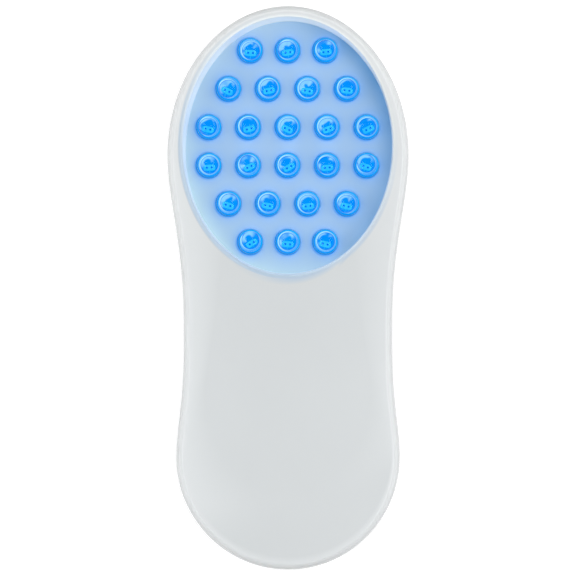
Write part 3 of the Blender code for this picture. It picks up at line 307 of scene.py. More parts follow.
# Heights, from the back up
LED_BOARD_Z = BUTTON_STACK + COMPONENT_SPACE
LED_Z = LED_BOARD_Z + LED_BOARD_THICK + GAP
PANEL_TOP = LED_Z + PANEL_THICK
COLLAR_Z = PANEL_TOP + GAP
HEAD_FACE_Z = LED_Z + LED_HEIGHT + RIM_OVER_LAMPS
CELL_Z = WALL + CELL_PLAY + CELL_RADIUS
BAY_CEILING_Z = CELL_Z + CELL_RADIUS + CELL_PLAY
BAY_TOP_Z = BAY_CEILING_Z + BAY_WALL
HANDLE_FACE_Z = BAY_TOP_Z + WIRE_SPACE + FACE_WALL
PART_Z = PART_LINE_SHARE * HEAD_FACE_Z
BUTTON_FLANGE_Z = WALL + GAP
BUTTON_TOP_Z = BUTTON_FLANGE_Z + BUTTON_FLANGE_HEIGHT + BUTTON_STEM_HEIGHT
HOOK_TOP_Z = WALL + GAP + HOOK_THICK

# Places of the screws, and of the cells from left to right
BOSS_RADIUS = SCREW_HEAD_RADIUS + SCREW_PLAY + BOSS_WALL / 2
PILOT_RADIUS = SCREW_RADIUS + SCREW_PLAY
NECK_SCREW_X = BAY_HALF_WIDTH + SCREW_HEAD_RADIUS
NECK_SCREW_Y = BAY_HEAD_Y + BAY_WALL + BOSS_RADIUS + LATCH_ROOM + LATCH_THICK
FOOT_SCREW_X = FOOT_SCREW_SHARE * FOOT_HALF_WIDTH
FOOT_SCREW_Y = DOOR_FOOT_Y - HOOK_REACH - BOSS_RADIUS - GAP
SCREW_PLACES = [Vector((side * x, y)) for side in (-1, 1)
                for x, y in ((NECK_SCREW_X, NECK_SCREW_Y), (FOOT_SCREW_X, FOOT_SCREW_Y))]
CELL_PLACES = [(index - (CELL_COUNT - 1) / 2) * CELL_PITCH for index in range(CELL_COUNT)]

# Camera: straight down, so far off that sizes in the picture hold from front to back
PICTURE_WIDTH = 0.13824
SENSOR = 36.0
CAMERA_HEIGHT = 2.0
CAMERA_REACH = 10.0

# Floor: how far it is lifted to white, half its width, and how far it lies under the object
FLOOR_LIFT = 0.76
FLOOR_HALF = 3.0
FLOOR_DROP = 0.0002

# Light: place, size, power and colour of the soft lights, and the sky's levels by height
KEY_LIGHT = ((0.30, 0.26, 0.80), (0.28, 0.28), 0.5, (1.0, 0.985, 0.96))
SIDE_BOXES = ((0.42, 0.0, 0.73), (0.60, 1.1), 0.9, (0.98, 0.99, 1.0))
SIDE_STRIPS = ((0.60, 0.0, 0.50), (0.34, 1.1), 3.5, (0.98, 0.99, 1.0))
SKY_TONE = (0.985, 0.995, 1.0)
SKY_STOPS = ((0.0, 0.18), (0.3, 0.22), (0.6, 0.28), (0.85, 0.28), (0.95, 0.16), (0.99, 0.05))

# Painted light on the front: a painted highlight along its edge, painted shade at its rim, a painted glow and
# painted blue shade at the window
FRONT_PAINTED_LIGHT = ("painted_highlight", "rim", "lit", "painted_lip_shade")
RIM_SPREAD = 0.00085
HIGHLIGHT_INSET = 0.00105
HIGHLIGHT_SPREAD = 0.0007
HIGHLIGHT_REACH = 0.019
HIGHLIGHT_SHARE = 0.27
HIGHLIGHT_LEFT = 0.5
HIGHLIGHT_LEFT_RUN = 0.015
HIGHLIGHT_FOOT_Y = -0.042
HIGHLIGHT_FOOT_RUN = 0.014
HIGHLIGHT_FOOT_TILT = 0.35
LIT_WIDTH = 0.0009
LIT_LEAST = 0.35
LIT_WALL = 0.45
LIT_WALL_RUN = 1.3
LIT_WALL_TOP = 0.75
LIT_TOP_RUN = 1.5
LIP_SHADE_WIDTH = 0.0016

# Looks of the pieces that the casing hides: two tones, scale of the mottle, roughness, and the CAD nodes
INSIDE_LOOKS = {
    "white_board": ((0.66, 0.70, 0.72), (0.72, 0.76, 0.78), 500.0, 0.42, ("led_board",)),
    "green_board": ((0.012, 0.13, 0.055), (0.022, 0.17, 0.075), 700.0, 0.38, ("control_board",)),
    "black_moulding": ((0.016, 0.016, 0.018), (0.026, 0.026, 0.028), 900.0, 0.46,
                       ("control_chip", "buzzer", "tact_switch")),
    "cream_moulding": ((0.70, 0.65, 0.53), (0.76, 0.71, 0.59), 600.0, 0.5, ("wire_connector",)),
    "capacitor_sleeve": ((0.03, 0.04, 0.09), (0.05, 0.06, 0.12), 800.0, 0.35, ("capacitor",)),
    "red_sleeve": ((0.50, 0.018, 0.018), (0.60, 0.028, 0.024), 900.0, 0.45,
                   ("wire_positive", "lamp_lead_positive")),
    "black_sleeve": ((0.018, 0.018, 0.018), (0.030, 0.030, 0.030), 900.0, 0.45,
                     ("wire_negative", "lamp_lead_negative")),
}
BUMP_DEPTH = 0.0001
SPECKLE = 0.06


# Plan and heights of the body


def side_at(degrees):
    """The direction at an angle from the window's centre, anticlockwise from the right."""
    return Vector((math.cos(math.radians(degrees)), math.sin(math.radians(degrees))))


GLOW_SIDE = side_at(230.0)
SHADE_SIDE = side_at(10.0)
DEEP_SIDE = side_at(40.0)
LEAN_SIDE = side_at(118.0)
PAINTED_LIP_SIDE = side_at(232.0)
LIP_SIDE = side_at(205.0)


def smooth_share(share):
    """Ease a share between 0 and 1 so that it starts and ends level."""
    share = min(max(share, 0.0), 1.0)
    return share * share * (3.0 - 2.0 * share)


def facing(direction, side):
    """How much a direction looks to a side, with nothing for those that look away."""
    return max(direction.dot(side), 0.0)


def half_width(y):
    """Half the width of the body between its two round ends, narrowest at the waist."""
    if y >= WAIST_Y:
        wide, share = HEAD_HALF_WIDTH, ((y - WAIST_Y) / (HEAD_Y - WAIST_Y)) ** HEAD_BLEND_POWER
    else:
        wide, share = FOOT_HALF_WIDTH, ((WAIST_Y - y) / (WAIST_Y - FOOT_Y)) ** FOOT_BLEND_POWER
    return WAIST_HALF_WIDTH + (wide - WAIST_HALF_WIDTH) * smooth_share(share)


def half_oval(half_x, middle_y, half_y, start, steps):
    """Half of an oval's points, anticlockwise from an angle."""
    angles = [start + math.pi * step / steps for step in range(steps + 1)]
    return [Vector((half_x * math.cos(angle), middle_y + half_y * math.sin(angle))) for angle in angles]


def body_outline():
    """The plan outline of the body, anticlockwise from the right of the head."""
    side = [HEAD_Y + (FOOT_Y - HEAD_Y) * step / SIDE_STEPS for step in range(1, SIDE_STEPS)]
    return (half_oval(HEAD_HALF_WIDTH, HEAD_Y, HEAD_REACH, 0.0, HEAD_STEPS)
            + [Vector((-half_width(y), y)) for y in side]
            + half_oval(FOOT_HALF_WIDTH, FOOT_Y, FOOT_REACH, math.pi, FOOT_STEPS)
            + [Vector((half_width(y), y)) for y in reversed(side)])


def outward_normals(points):
    """The outward direction at each point of a closed anticlockwise outline."""
    ways = [points[(index + 1) % len(points)] - points[index - 1] for index in range(len(points))]
    return [Vector((along.y, -along.x)).normalized() for along in ways]


OUTLINE = body_outline()
NORMALS = outward_normals(OUTLINE)


def face_height(y):
    """Height of the front face at its rounded edge: low on the handle, higher at the head."""
    share = (y - WAIST_Y) / (HEAD_Y - WAIST_Y)
    rise = smooth_share((share + RISE_START_SHARE) / (RISE_END_SHARE + RISE_START_SHARE))
    return HANDLE_FACE_Z + (HEAD_FACE_Z - HANDLE_FACE_Z) * rise


def crown_height(x, y):
    """Height of the crowned front face, highest along the middle of the body."""
    if y >= HEAD_Y:
        out = math.hypot(x / (HEAD_HALF_WIDTH - EDGE_RUN), (y - HEAD_Y) / (HEAD_REACH - EDGE_RUN))
    elif y <= FOOT_Y:
        out = math.hypot(x / (FOOT_HALF_WIDTH - EDGE_RUN), (y - FOOT_Y) / (FOOT_REACH - EDGE_RUN))
    else:
        out = abs(x) / (half_width(y) - EDGE_RUN)
    return face_height(y) + CROWN * (1.0 - min(out, 1.0) ** 2)


def under_crown(places, drops=repeat(0.0)):
    """A ring of points that lie on the crowned face, or some way below it."""
    return [Vector((p.x, p.y, crown_height(p.x, p.y) - drop)) for p, drop in zip(places, drops)]


def body_ring(inset, z):
    """The body's outline drawn in by an inset, as a ring of points at a height."""
    places = [point - normal * inset for point, normal in zip(OUTLINE, NORMALS)]
    return [Vector((place.x, place.y, z)) for place in places]


def oval_point(direction, offset=0.0):
    """The point of the window's oval, widened by an offset, that lies in a direction from its centre."""
    across = direction.x / (WINDOW_HALF_WIDTH + offset)
    along = direction.y / (WINDOW_HALF_LENGTH + offset)
    return WINDOW_CENTRE + direction * (1.0 / math.hypot(across, along))


def oval_share(point, offset=0.0):
    """How far out in the window's oval, widened by an offset, a point lies: 1 is on the oval."""
    across = point.x / (WINDOW_HALF_WIDTH + offset)
    along = (point.y - WINDOW_Y) / (WINDOW_HALF_LENGTH + offset)
    return math.hypot(across, along)


def well_point(direction):
    """The foot of the window's wall in a direction: the wall leans inward most at the upper left."""
    return oval_point(direction, -WALL_LEAN * facing(direction, LEAN_SIDE))


def lamp_places():
    """The centres of the lamps, row by row from the top of the head."""
    places = []
    for row, count in enumerate(LAMP_ROWS):
        pitch = LAMP_PITCH_IN_THREES if count == min(LAMP_ROWS) else LAMP_PITCH
        y = WINDOW_Y + ((len(LAMP_ROWS) - 1) / 2 - row) * LAMP_ROW_PITCH
        places += [Vector(((column - (count - 1) / 2) * pitch, y)) for column in range(count)]
    return places


LAMP_PLACES = lamp_places()


# Mesh tools


def round_angles(steps):
    """Angles all round, in equal steps."""
    return [2.0 * math.pi * step / steps for step in range(steps)]


def quarter_turn(steps):
    """A rounded corner in equal steps, each as shares of its radius: the sine, and what the cosine lacks of 1."""
    angles = [math.pi / 2.0 * step / steps for step in range(steps + 1)]
    return [(math.sin(angle), 1.0 - math.cos(angle)) for angle in angles]


def circle_ring(centre, radius, z, steps=HOLE_STEPS):
    """A level circle of points."""
    return [Vector((centre.x + radius * math.cos(angle), centre.y + radius * math.sin(angle), z))
            for angle in round_angles(steps)]


def add_loft(bm, rings, start_cap=True, end_cap=True, closed=False):
    """Join rings of equal count into a skin, and close its ends or join them to each other."""
    rows = [[bm.verts.new(point) for point in ring] for ring in rings]
    for low, high in zip(rows, rows[1:] + rows[:closed]):
        for index, _ in enumerate(low):
            after = (index + 1) % len(low)
            bm.faces.new((low[index], low[after], high[after], high[index]))
    if start_cap and not closed:
        bm.faces.new(list(reversed(rows[0])))
    if end_cap and not closed:
        bm.faces.new(rows[-1])
    return rows


def add_turned(bm, profile, centre, steps=HOLE_STEPS, stand=None):
    """Turn a profile of radius and height pairs about an upright axis, and move it to where it stands."""
    rings = [circle_ring(centre, max(radius, 0.0), z, steps) for radius, z in profile]
    if stand:
        rings = [[stand @ point for point in ring] for ring in rings]
    add_loft(bm, rings, profile[0][0] > 0.0, profile[-1][0] > 0.0)


def add_box(bm, low, high):
    """A plain block between two corners."""
    size = Vector(high) - Vector(low)
    place = Matrix.Translation((Vector(low) + Vector(high)) / 2.0) @ Matrix.Diagonal(size.to_4d())
    bmesh.ops.create_cube(bm, size=1.0, matrix=place)


def add_rounded_block(bm, middle_y, half_x, half_y, corner, levels):
    """A block with rounded corners in plan, grown by a margin at each level."""
    middle = Vector((0.0, middle_y))
    rings = []
    for margin, z in levels:
        radius = corner + margin
        ring = []
        for quarter, (sx, sy) in enumerate(((1, 1), (-1, 1), (-1, -1), (1, -1))):
            for step in range(CORNER_STEPS + 1):
                angle = math.pi / 2.0 * (quarter + step / CORNER_STEPS)
                x = middle.x + sx * (half_x + margin - radius) + radius * math.cos(angle)
                y = middle.y + sy * (half_y + margin - radius) + radius * math.sin(angle)
                ring.append(Vector((x, y, z)))
        rings.append(ring)
    add_loft(bm, rings)


def mesh_of(tool, *given):
    """A mesh with one form in it, made by one of the tools above."""
    bm = bmesh.new()
    tool(bm, *given)
    return bm


def soft_lip(radius, z):
    """A rounded edge in a downward face: from the wide end at the face to the bore's own radius."""
    return [(radius + EDGE_ROUND * (1.0 - out), z + EDGE_ROUND * up) for out, up in quarter_turn(ROUND_STEPS)]


def place_item(name, data, place=(0.0, 0.0, 0.0)):
    """An object in the scene at a place."""
    item = bpy.data.objects.new(name, data)
    item.location = place
    bpy.context.scene.collection.objects.link(item)
    return item


def make_solid(name, bm):
    """An object from a bmesh, with its faces turned outward."""
    bmesh.ops.recalc_face_normals(bm, faces=bm.faces)
    mesh = bpy.data.meshes.new(name)
    bm.to_mesh(mesh)
    bm.free()
    return place_item(name, mesh)


def make_piece(name, bm, *materials, sharp=35.0):
    """Turn a finished bmesh into a named piece with its materials."""
    bmesh.ops.remove_doubles(bm, verts=bm.verts, dist=MERGE)
    piece = make_solid(name, bm)
    piece.data.shade_smooth()
    piece.data.set_sharp_from_angle(angle=math.radians(sharp))
    for material in materials:
        piece.data.materials.append(material)
    return piece


def carve(base, steps):
    """Join meshes to a base and cut others from it, and return the outcome."""
    target = make_solid("blank", base)
    tools = []
    for operation, bm in steps:
        tools.append(make_solid(operation.lower(), bm))
        modifier = target.modifiers.new(tools[-1].name, "BOOLEAN")
        modifier.operation = operation
        modifier.solver = "EXACT"
        modifier.object = tools[-1]
    carved = bmesh.new()
    carved.from_object(target, bpy.context.evaluated_depsgraph_get())
    for item in (target, *tools):
        bpy.data.objects.remove(item)
    return carved


def store(piece, tones, *given):
    """Give the mesh the values that a function finds for each point, each under its name."""
    found = [tones(vertex.co, *given) for vertex in piece.data.vertices]
    for name in found[0]:
        layer = piece.data.attributes.new(name, "FLOAT", "POINT")
        layer.data.foreach_set("value", [values[name] for values in found])


def nearest(point, places):
    """The number of the place nearest to a point, and the way from there to the point."""
    number = min(range(len(places)), key=lambda index: (point - places[index]).length)
    return number, point - places[number]


# Materials


class Look:
    """The node tree of a material or a world, built up by short calls."""

    def __init__(self, owner):
        owner.use_nodes = True
        self.owner = owner
        self.tree = owner.node_tree

    def fill(self, sockets, values):
        """Set sockets to values, colours with full alpha, or link them to other nodes' outputs."""
        for name, value in values.items():
            if isinstance(value, bpy.types.NodeSocket):
                self.tree.links.new(value, sockets[name])
            else:
                sockets[name].default_value = (*value, 1.0) if isinstance(value, tuple) else value

    def add(self, kind, inputs=None, **settings):
        """A node with its settings and inputs."""
        node = self.tree.nodes.new(kind)
        for setting, value in settings.items():
            setattr(node, setting, value)
        self.fill(node.inputs, inputs or {})
        return node

    def shade(self, **inputs):
        """Fill the inputs of a material's shader, and return the material."""
        shader = self.tree.nodes["Principled BSDF"]
        self.fill(shader.inputs, {name.replace("_", " "): value for name, value in inputs.items()})
        return self.owner

    def stored(self, name):
        """A value that the mesh carries at each point."""
        return self.add("ShaderNodeAttribute", attribute_name=name).outputs["Fac"]

    def grain(self, scale, detail):
        """Noise over the piece, with its scale in spots to the metre."""
        place = self.add("ShaderNodeTexCoord").outputs["Object"]
        return self.add("ShaderNodeTexNoise", {"Vector": place, "Scale": scale, "Detail": detail}).outputs["Fac"]

    def ramp(self, source, *stops):
        """Colours along a value, from pairs of place and colour."""
        node = self.add("ShaderNodeValToRGB", {"Fac": source})
        elements = node.color_ramp.elements
        while len(elements) < len(stops):
            elements.new(1.0)
        for element, (place, colour) in zip(elements, stops):
            element.position = place
            element.color = (*colour, 1.0)
        return node.outputs["Color"]

    def mottle(self, scale, detail, low, high, start=0.35):
        """A colour that drifts between two tones with the grain."""
        return self.ramp(self.grain(scale, detail), (start, low), (1.0 - start, high))

    def spread(self, source, low, high, from_low=0.3, from_high=0.7):
        """A value that follows another one between two limits."""
        return self.add("ShaderNodeMapRange", {"Value": source, "From Min": from_low, "From Max": from_high,
                                               "To Min": low, "To Max": high}).outputs["Result"]

    def vary(self, scale, detail, low, high):
        """A value that drifts between two limits with the grain."""
        return self.spread(self.grain(scale, detail), low, high)

    def bump(self, scale, detail, strength):
        """Small relief from the grain."""
        return self.add("ShaderNodeBump", {"Height": self.grain(scale, detail), "Strength": strength,
                                           "Distance": BUMP_DEPTH}).outputs["Normal"]

    def blend(self, share, first, second):
        """A mix of two colours by a share, or by the stored value of that name."""
        node = self.add("ShaderNodeMix", data_type="RGBA", clamp_factor=True)
        share = self.stored(share) if isinstance(share, str) else share
        sockets = {socket.identifier: socket for socket in (*node.inputs, *node.outputs)}
        self.fill(sockets, {"Factor_Float": share, "A_Color": first, "B_Color": second})
        return sockets["Result_Color"]

    def reckon(self, operation, first, second):
        """What a Math node makes of two values."""
        return self.add("ShaderNodeMath", {0: first, 1: second}, operation=operation).outputs[0]


def new_look(name):
    """The node tree of a new material."""
    return Look(bpy.data.materials.new(name))


def shell_look():
    """Glossy white moulded plastic with a faint orange peel, and painted light on it: a painted highlight along
    the edge, painted shade at the outer edge and on the lip, and a painted glow at the window.
    """
    look = new_look("white_plastic")
    tone = look.mottle(45.0, 2.0, (0.688, 0.712, 0.718), (0.698, 0.722, 0.728))
    # The three colours are painted shade at the outer edge, a painted highlight along the edge, and painted blue
    # shade on the lip at the window.
    for name, colour in (("rim", (0.60, 0.64, 0.635)), ("painted_highlight", (0.92, 0.94, 0.945)),
                         ("painted_lip_shade", (0.49, 0.61, 0.735))):
        tone = look.blend(name, tone, colour)
    return look.shade(
        Base_Color=tone, Metallic=0.0, IOR=1.5,
        Roughness=look.vary(900.0, 3.0, 0.25, 0.27),
        Specular_IOR_Level=look.spread(look.stored("rim"), 0.5, 0.06, 0.0, 1.0),
        Normal=look.bump(1400.0, 2.0, 0.03),
        # The emission is a painted glow on the lip and the wall of the window.
        Emission_Color=look.blend("lit", (0.0, 0.0, 0.0), (0.25, 0.26, 0.25)), Emission_Strength=1.0)


def panel_look():
    """Pale translucent plate with painted light: a painted blue glow round each lamp with a painted shadow ring at
    its hole, a painted cyan glow at one side and painted shade at the other.
    """
    look = new_look("lamp_plate")
    base = look.mottle(90.0, 3.0, (0.180, 0.280, 0.420), (0.200, 0.300, 0.440), 0.3)
    glow = look.mottle(60.0, 3.0, (0.190, 0.300, 0.440), (0.210, 0.320, 0.465), 0.3)
    # All the emission is painted light: a cyan glow at one side, painted shade at the other, a blue glow round
    # each lamp and a painted shadow ring at each hole.
    for name, colour in (("edge", (0.375, 0.510, 0.500)), ("shade", (0.000, 0.100, 0.260)),
                         ("halo", (0.080, 0.250, 0.600)), ("ring", (0.000, 0.185, 0.580))):
        glow = look.blend(name, glow, colour)
    return look.shade(
        # The base colour is darkened too by the painted shadow ring at each hole.
        Base_Color=look.blend("ring", base, (0.0, 0.080, 0.250)), Metallic=0.0, IOR=1.49,
        Roughness=look.vary(300.0, 3.0, 0.38, 0.5),
        Normal=look.bump(2200.0, 2.0, 0.06),
        Emission_Color=glow, Emission_Strength=1.0)


def lens_look():
    """Clear blue cast resin."""
    look = new_look("lamp_resin")
    return look.shade(
        Base_Color=look.mottle(220.0, 2.0, (0.70, 0.88, 1.0), (0.78, 0.92, 1.0), 0.3),
        Metallic=0.0, IOR=1.5, Transmission_Weight=1.0, Specular_Tint=(0.10, 0.20, 0.30),
        Roughness=look.vary(500.0, 2.0, 0.0, 0.03))


def core_look():
    """The lit underside that shows through the resin."""
    look = new_look("lamp_glow")
    light = look.blend("glow", (0.0, 0.240, 0.650), (0.0, 0.40, 0.83))
    flecked = look.blend(look.vary(900.0, 3.0, 0.0, 0.2), light, (0.0, 0.28, 0.74))
    return look.shade(Base_Color=(0.02, 0.12, 0.35), Metallic=0.0, Roughness=0.5,
                      Emission_Color=flecked, Emission_Strength=1.0)


def leadframe_look():
    """Silvered lead frame in blue light."""
    look = new_look("lamp_leadframe")
    tone = look.mottle(1200.0, 2.0, (0.005, 0.41, 0.90), (0.02, 0.48, 0.94))
    return look.shade(Base_Color=(0.03, 0.2, 0.5), Metallic=0.0, Roughness=0.8, Specular_IOR_Level=0.0,
                      Emission_Color=tone, Emission_Strength=0.95)


def cup_look():
    """Deep blue light inside the reflector cup, with a painted highlight on its rim and a painted highlight cap.
    """
    look = new_look("lamp_cup")
    tone = look.mottle(1200.0, 2.0, (0.0, 0.270, 0.84), (0.0, 0.305, 0.88))
    # Painted highlights on the rim and cap.
    for name, colour in (("dark", (0.0, 0.16, 0.66)), ("painted_highlight", (0.50, 0.92, 1.0))):
        tone = look.blend(name, tone, colour)
    return look.shade(Base_Color=(0.0, 0.05, 0.2), Metallic=0.0, Roughness=0.8, Specular_IOR_Level=0.0,
                      Emission_Color=tone, Emission_Strength=1.0)


def fine_look(name, tone, gloss, relief, **inputs):
    """A material whose colour, gloss and relief each vary with a grain of their own."""
    look = new_look(name)
    return look.shade(Base_Color=look.mottle(*tone), Roughness=look.vary(*gloss), Normal=look.bump(*relief),
                      **inputs)


def button_look():
    """Soft grey rubbery plastic with fine grain."""
    return fine_look("grey_button", (120.0, 3.0, (0.40, 0.44, 0.47), (0.44, 0.48, 0.51)), (600.0, 3.0, 0.42, 0.58),
                     (5000.0, 2.0, 0.25), Metallic=0.0, IOR=1.5)


def steel_look():
    """Nickel-plated steel."""
    return fine_look("plated_steel", (400.0, 4.0, (0.58, 0.57, 0.54), (0.68, 0.67, 0.64)), (900.0, 4.0, 0.2, 0.36),
                     (3000.0, 3.0, 0.1), Metallic=1.0)


def cell_look():
    """Cell wrap: dark foil with a lighter band, and bright metal at both ends."""
    look = new_look("cell_wrap")
    wrap = look.mottle(200.0, 3.0, (0.045, 0.055, 0.075), (0.060, 0.072, 0.095))
    band = look.blend(look.spread(look.stored("along"), 0.0, 1.0, 0.735, 0.738), wrap, (0.56, 0.50, 0.38))
    ends = look.blend(look.spread(look.stored("out"), 1.0, 0.0, 0.90, 0.93), band, (0.66, 0.65, 0.63))
    return look.shade(Base_Color=ends, Metallic=0.85, Roughness=look.vary(700.0, 3.0, 0.26, 0.36),
                      Normal=look.bump(1800.0, 3.0, 0.08))


def dress_inside(steel):
    """Better materials for the pieces that the casing hides."""
    kept = {"switch_plunger": button_look()}
    for name, (low, high, scale, rough, nodes) in INSIDE_LOOKS.items():
        look = fine_look(name, (scale, 3.0, low, high), (2.0 * scale, 3.0, rough - SPECKLE, rough + SPECKLE),
                         (4.0 * scale, 2.0, 0.12), Metallic=0.0)
        kept.update({node: look for node in nodes})
    for node in ("contact_positive", "contact_negative", "contact_bridge_foot", "contact_bridge_head"):
        kept[node] = steel
    for node, material in kept.items():
        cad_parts[node].material_slots[0].material = material


def floor_look():
    """White floor that keeps the object's shadow, lifted where it is seen straight or through gloss and glass."""
    look = new_look("floor_white")
    path = look.add("ShaderNodeLightPath")
    seen = path.outputs["Is Camera Ray"]
    for name in ("Is Glossy Ray", "Is Transmission Ray"):
        seen = look.reckon("MAXIMUM", seen, path.outputs[name])
    return look.shade(Base_Color=look.mottle(8.0, 2.0, (0.375, 0.375, 0.375), (0.385, 0.385, 0.385), 0.3),
                      Roughness=0.9, Emission_Color=(1.0, 1.0, 1.0),
                      Emission_Strength=look.reckon("MULTIPLY", seen, FLOOR_LIFT))


# Front casing


def paint_front_light(bm, rows, runs):
    """Store the painted highlight along the front's edge and the painted shade at its rim, by the way in from its
    outline, and the painted glow and painted blue shade near the window.
    """
    painted_highlight, rim, lit, painted_lip_shade = (bm.verts.layers.float.get(name) for name in FRONT_PAINTED_LIGHT)
    edge_row = SEAM_ROWS + EDGE_STEPS
    for number, row in enumerate(rows[SEAM_ROWS:edge_row + FACE_STEPS]):
        for vert, point, edge_vert, run in zip(row, OUTLINE, rows[edge_row], runs):
            if number < EDGE_STEPS:
                inset = (vert.co.xy - point).length
            else:
                inset = (vert.co.xy - edge_vert.co.xy).length + run
            # Painted highlight: a broad painted sheen fading in from the outline, stronger on the left and fading
            # out towards the foot, and a sharp painted highlight along the edge.
            broad = HIGHLIGHT_SHARE * max(1.0 - inset / HIGHLIGHT_REACH, 0.0) * min(inset / HIGHLIGHT_INSET, 1.0)
            broad *= 1.0 + HIGHLIGHT_LEFT * smooth_share(-vert.co.x / HIGHLIGHT_LEFT_RUN)
            broad *= 1.0 - smooth_share((HIGHLIGHT_FOOT_Y - vert.co.y + HIGHLIGHT_FOOT_TILT * vert.co.x) / HIGHLIGHT_FOOT_RUN)
            vert[painted_highlight] = max(broad, math.exp(-((inset - HIGHLIGHT_INSET) / HIGHLIGHT_SPREAD) ** 2))
            # Painted shade that darkens the outermost part of the edge.
            vert[rim] = smooth_share(1.0 - inset / RIM_SPREAD)
    near = rows[edge_row:-INSIDE_ROWS]
    for row in near:
        for vert in row:
            away = vert.co.xy - WINDOW_CENTRE
            direction = away.normalized()
            out = away.length - (oval_point(direction) - WINDOW_CENTRE).length
            side = smooth_share(0.5 + 0.5 * direction.dot(PAINTED_LIP_SIDE))
            # Painted glow on the lip, strongest on one side, and on the wall of the window, most near its top.
            lip = smooth_share(1.0 - out / LIT_WIDTH) * (LIT_LEAST + (1.0 - LIT_LEAST) * side)
            wall = facing(direction, LEAN_SIDE) * smooth_share(LIT_WALL_RUN - out / LIT_WIDTH)
            vert[lit] = lip + LIT_WALL * wall
            if row is near[-2]:
                vert[lit] += LIT_WALL_TOP * smooth_share(LIT_TOP_RUN * direction.dot(LEAN_SIDE))
            # Painted blue shade on one side of the lip.
            vert[painted_lip_shade] = side * smooth_share((LIP_SHADE_WIDTH - out) / (LIP_SHADE_WIDTH / 3))


def make_front(look):
    """Upper casing: rounded edge, crowned face, the lip rolling down into the lamp well, and its inside."""
    directions = [(point - WINDOW_CENTRE).normalized() for point in OUTLINE]
    widths = [(point - oval_point(direction)).length for point, direction in zip(OUTLINE, directions)]
    runs = [min(EDGE_RUN, 0.5 * width) for width in widths]
    lips = [LIP_ROUND * min(1.0, (width - EDGE_RUN) / (RIM_SIDE - EDGE_RUN)) ** 2
            * (LIP_LEAST + (1.0 - LIP_LEAST) * smooth_share(LIP_START + LIP_RUN * direction.dot(LIP_SIDE)))
            for direction, width in zip(directions, widths)]
    foot = PART_Z + SEAM / 2
    rings = [body_ring(SEAM_ROUND, foot), body_ring(SEAM_ROUND / 4, foot + SEAM_ROUND / 4),
             body_ring(0.0, foot + SEAM_ROUND)]
    for step in range(EDGE_STEPS + 1):
        angle = EDGE_END_TURN * step / EDGE_STEPS
        across = (1.0 - math.cos(angle)) / (1.0 - math.cos(EDGE_END_TURN))
        fall = 1.0 - math.sin(angle) / math.sin(EDGE_END_TURN)
        places = [point - normal * (SIDE_DRAFT + (run - SIDE_DRAFT) * across)
                  for point, normal, run in zip(OUTLINE, NORMALS, runs)]
        rings.append(under_crown(places, repeat(EDGE_DROP * fall)))
    edge = rings[-1]
    lip_start = [oval_point(direction, WELL_DRAFT + lip) for direction, lip in zip(directions, lips)]
    for step in range(1, FACE_STEPS):
        rings.append(under_crown([start.xy.lerp(end, step / FACE_STEPS) for start, end in zip(edge, lip_start)]))
    for step in range(LIP_STEPS + 1):
        angle = math.pi / 2.0 * (1.0 - step / LIP_STEPS)
        places = [oval_point(direction, WELL_DRAFT + lip * (1.0 - math.cos(angle)))
                  for direction, lip in zip(directions, lips)]
        rings.append(under_crown(places, [lip * (1.0 - math.sin(angle)) for lip in lips]))
    collar = [oval_point(direction, min(COLLAR_WALL, (width - WALL) / 2.0))
              for direction, width in zip(directions, widths)]
    far = [point - normal * (WALL + SIDE_DRAFT) for point, normal in zip(OUTLINE, NORMALS)]
    rings += [[Vector((*well_point(direction), COLLAR_Z)) for direction in directions],
              [Vector((*place, COLLAR_Z)) for place in collar], under_crown(collar, repeat(FACE_WALL)),
              under_crown(far, repeat(FACE_WALL + EDGE_DROP / 2)), body_ring(WALL, foot)]
    bm = bmesh.new()
    for name in FRONT_PAINTED_LIGHT:
        bm.verts.layers.float.new(name)
    paint_front_light(bm, add_loft(bm, rings, closed=True), runs)
    piece = make_piece("front_casing", bm, look)
    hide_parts("front_shell")
    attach(piece, "body")


# Back casing


def back_skin(inset, base_z):
    """The rings of the rounded back, from its flat underside to its side."""
    return [body_ring(inset + BACK_RUN * (1.0 - out), base_z + BACK_RISE * up)
            for out, up in quarter_turn(BACK_STEPS)]


def back_body():
    """The outside of the back, its softened seam and the tongue that locates the front."""
    seam = PART_Z - SEAM / 2
    return mesh_of(add_loft, back_skin(0.0, 0.0) + [
        body_ring(0.0, seam - SEAM_ROUND), body_ring(SEAM_ROUND / 4, seam - SEAM_ROUND / 4),
        body_ring(SEAM_ROUND, seam), body_ring(WALL + GAP, seam), body_ring(WALL + GAP, PART_Z + TONGUE_HEIGHT)])


def back_cavity():
    """The hollow of the back."""
    inner = WALL + GAP + TONGUE_WALL
    return mesh_of(add_loft, back_skin(WALL, WALL) + [
        body_ring(WALL, PART_Z - TONGUE_ROOT), body_ring(inner, PART_Z - TONGUE_ROOT + TONGUE_WALL),
        body_ring(inner, PART_Z + TONGUE_HEIGHT + OVERRUN)])


def back_posts():
    """Screw bosses and the posts that carry both boards."""
    bm = bmesh.new()
    low = WALL / 2
    control_top = LED_BOARD_Z - COMPONENT_SPACE - LATCH_THICK - GAP
    for place in SCREW_PLACES:
        add_turned(bm, [(BOSS_RADIUS, low), (BOSS_RADIUS, PART_Z - SEAM / 2)], place)
    for sx in (-1, 1):
        for sy in (-1, 1):
            y = WINDOW_Y + sy * (CONTROL_BOARD_HALF_LENGTH - BOARD_POST_INSET)
            for out, radius, top in ((-BOARD_POST_INSET, BOARD_POST_RADIUS, control_top),
                                     (LAMP_POST_OUT, LAMP_POST_RADIUS, LED_BOARD_Z - GAP)):
                place = Vector((sx * (CONTROL_BOARD_HALF_WIDTH + out), y))
                add_turned(bm, [(radius, low), (radius, top)], place)
    return bm


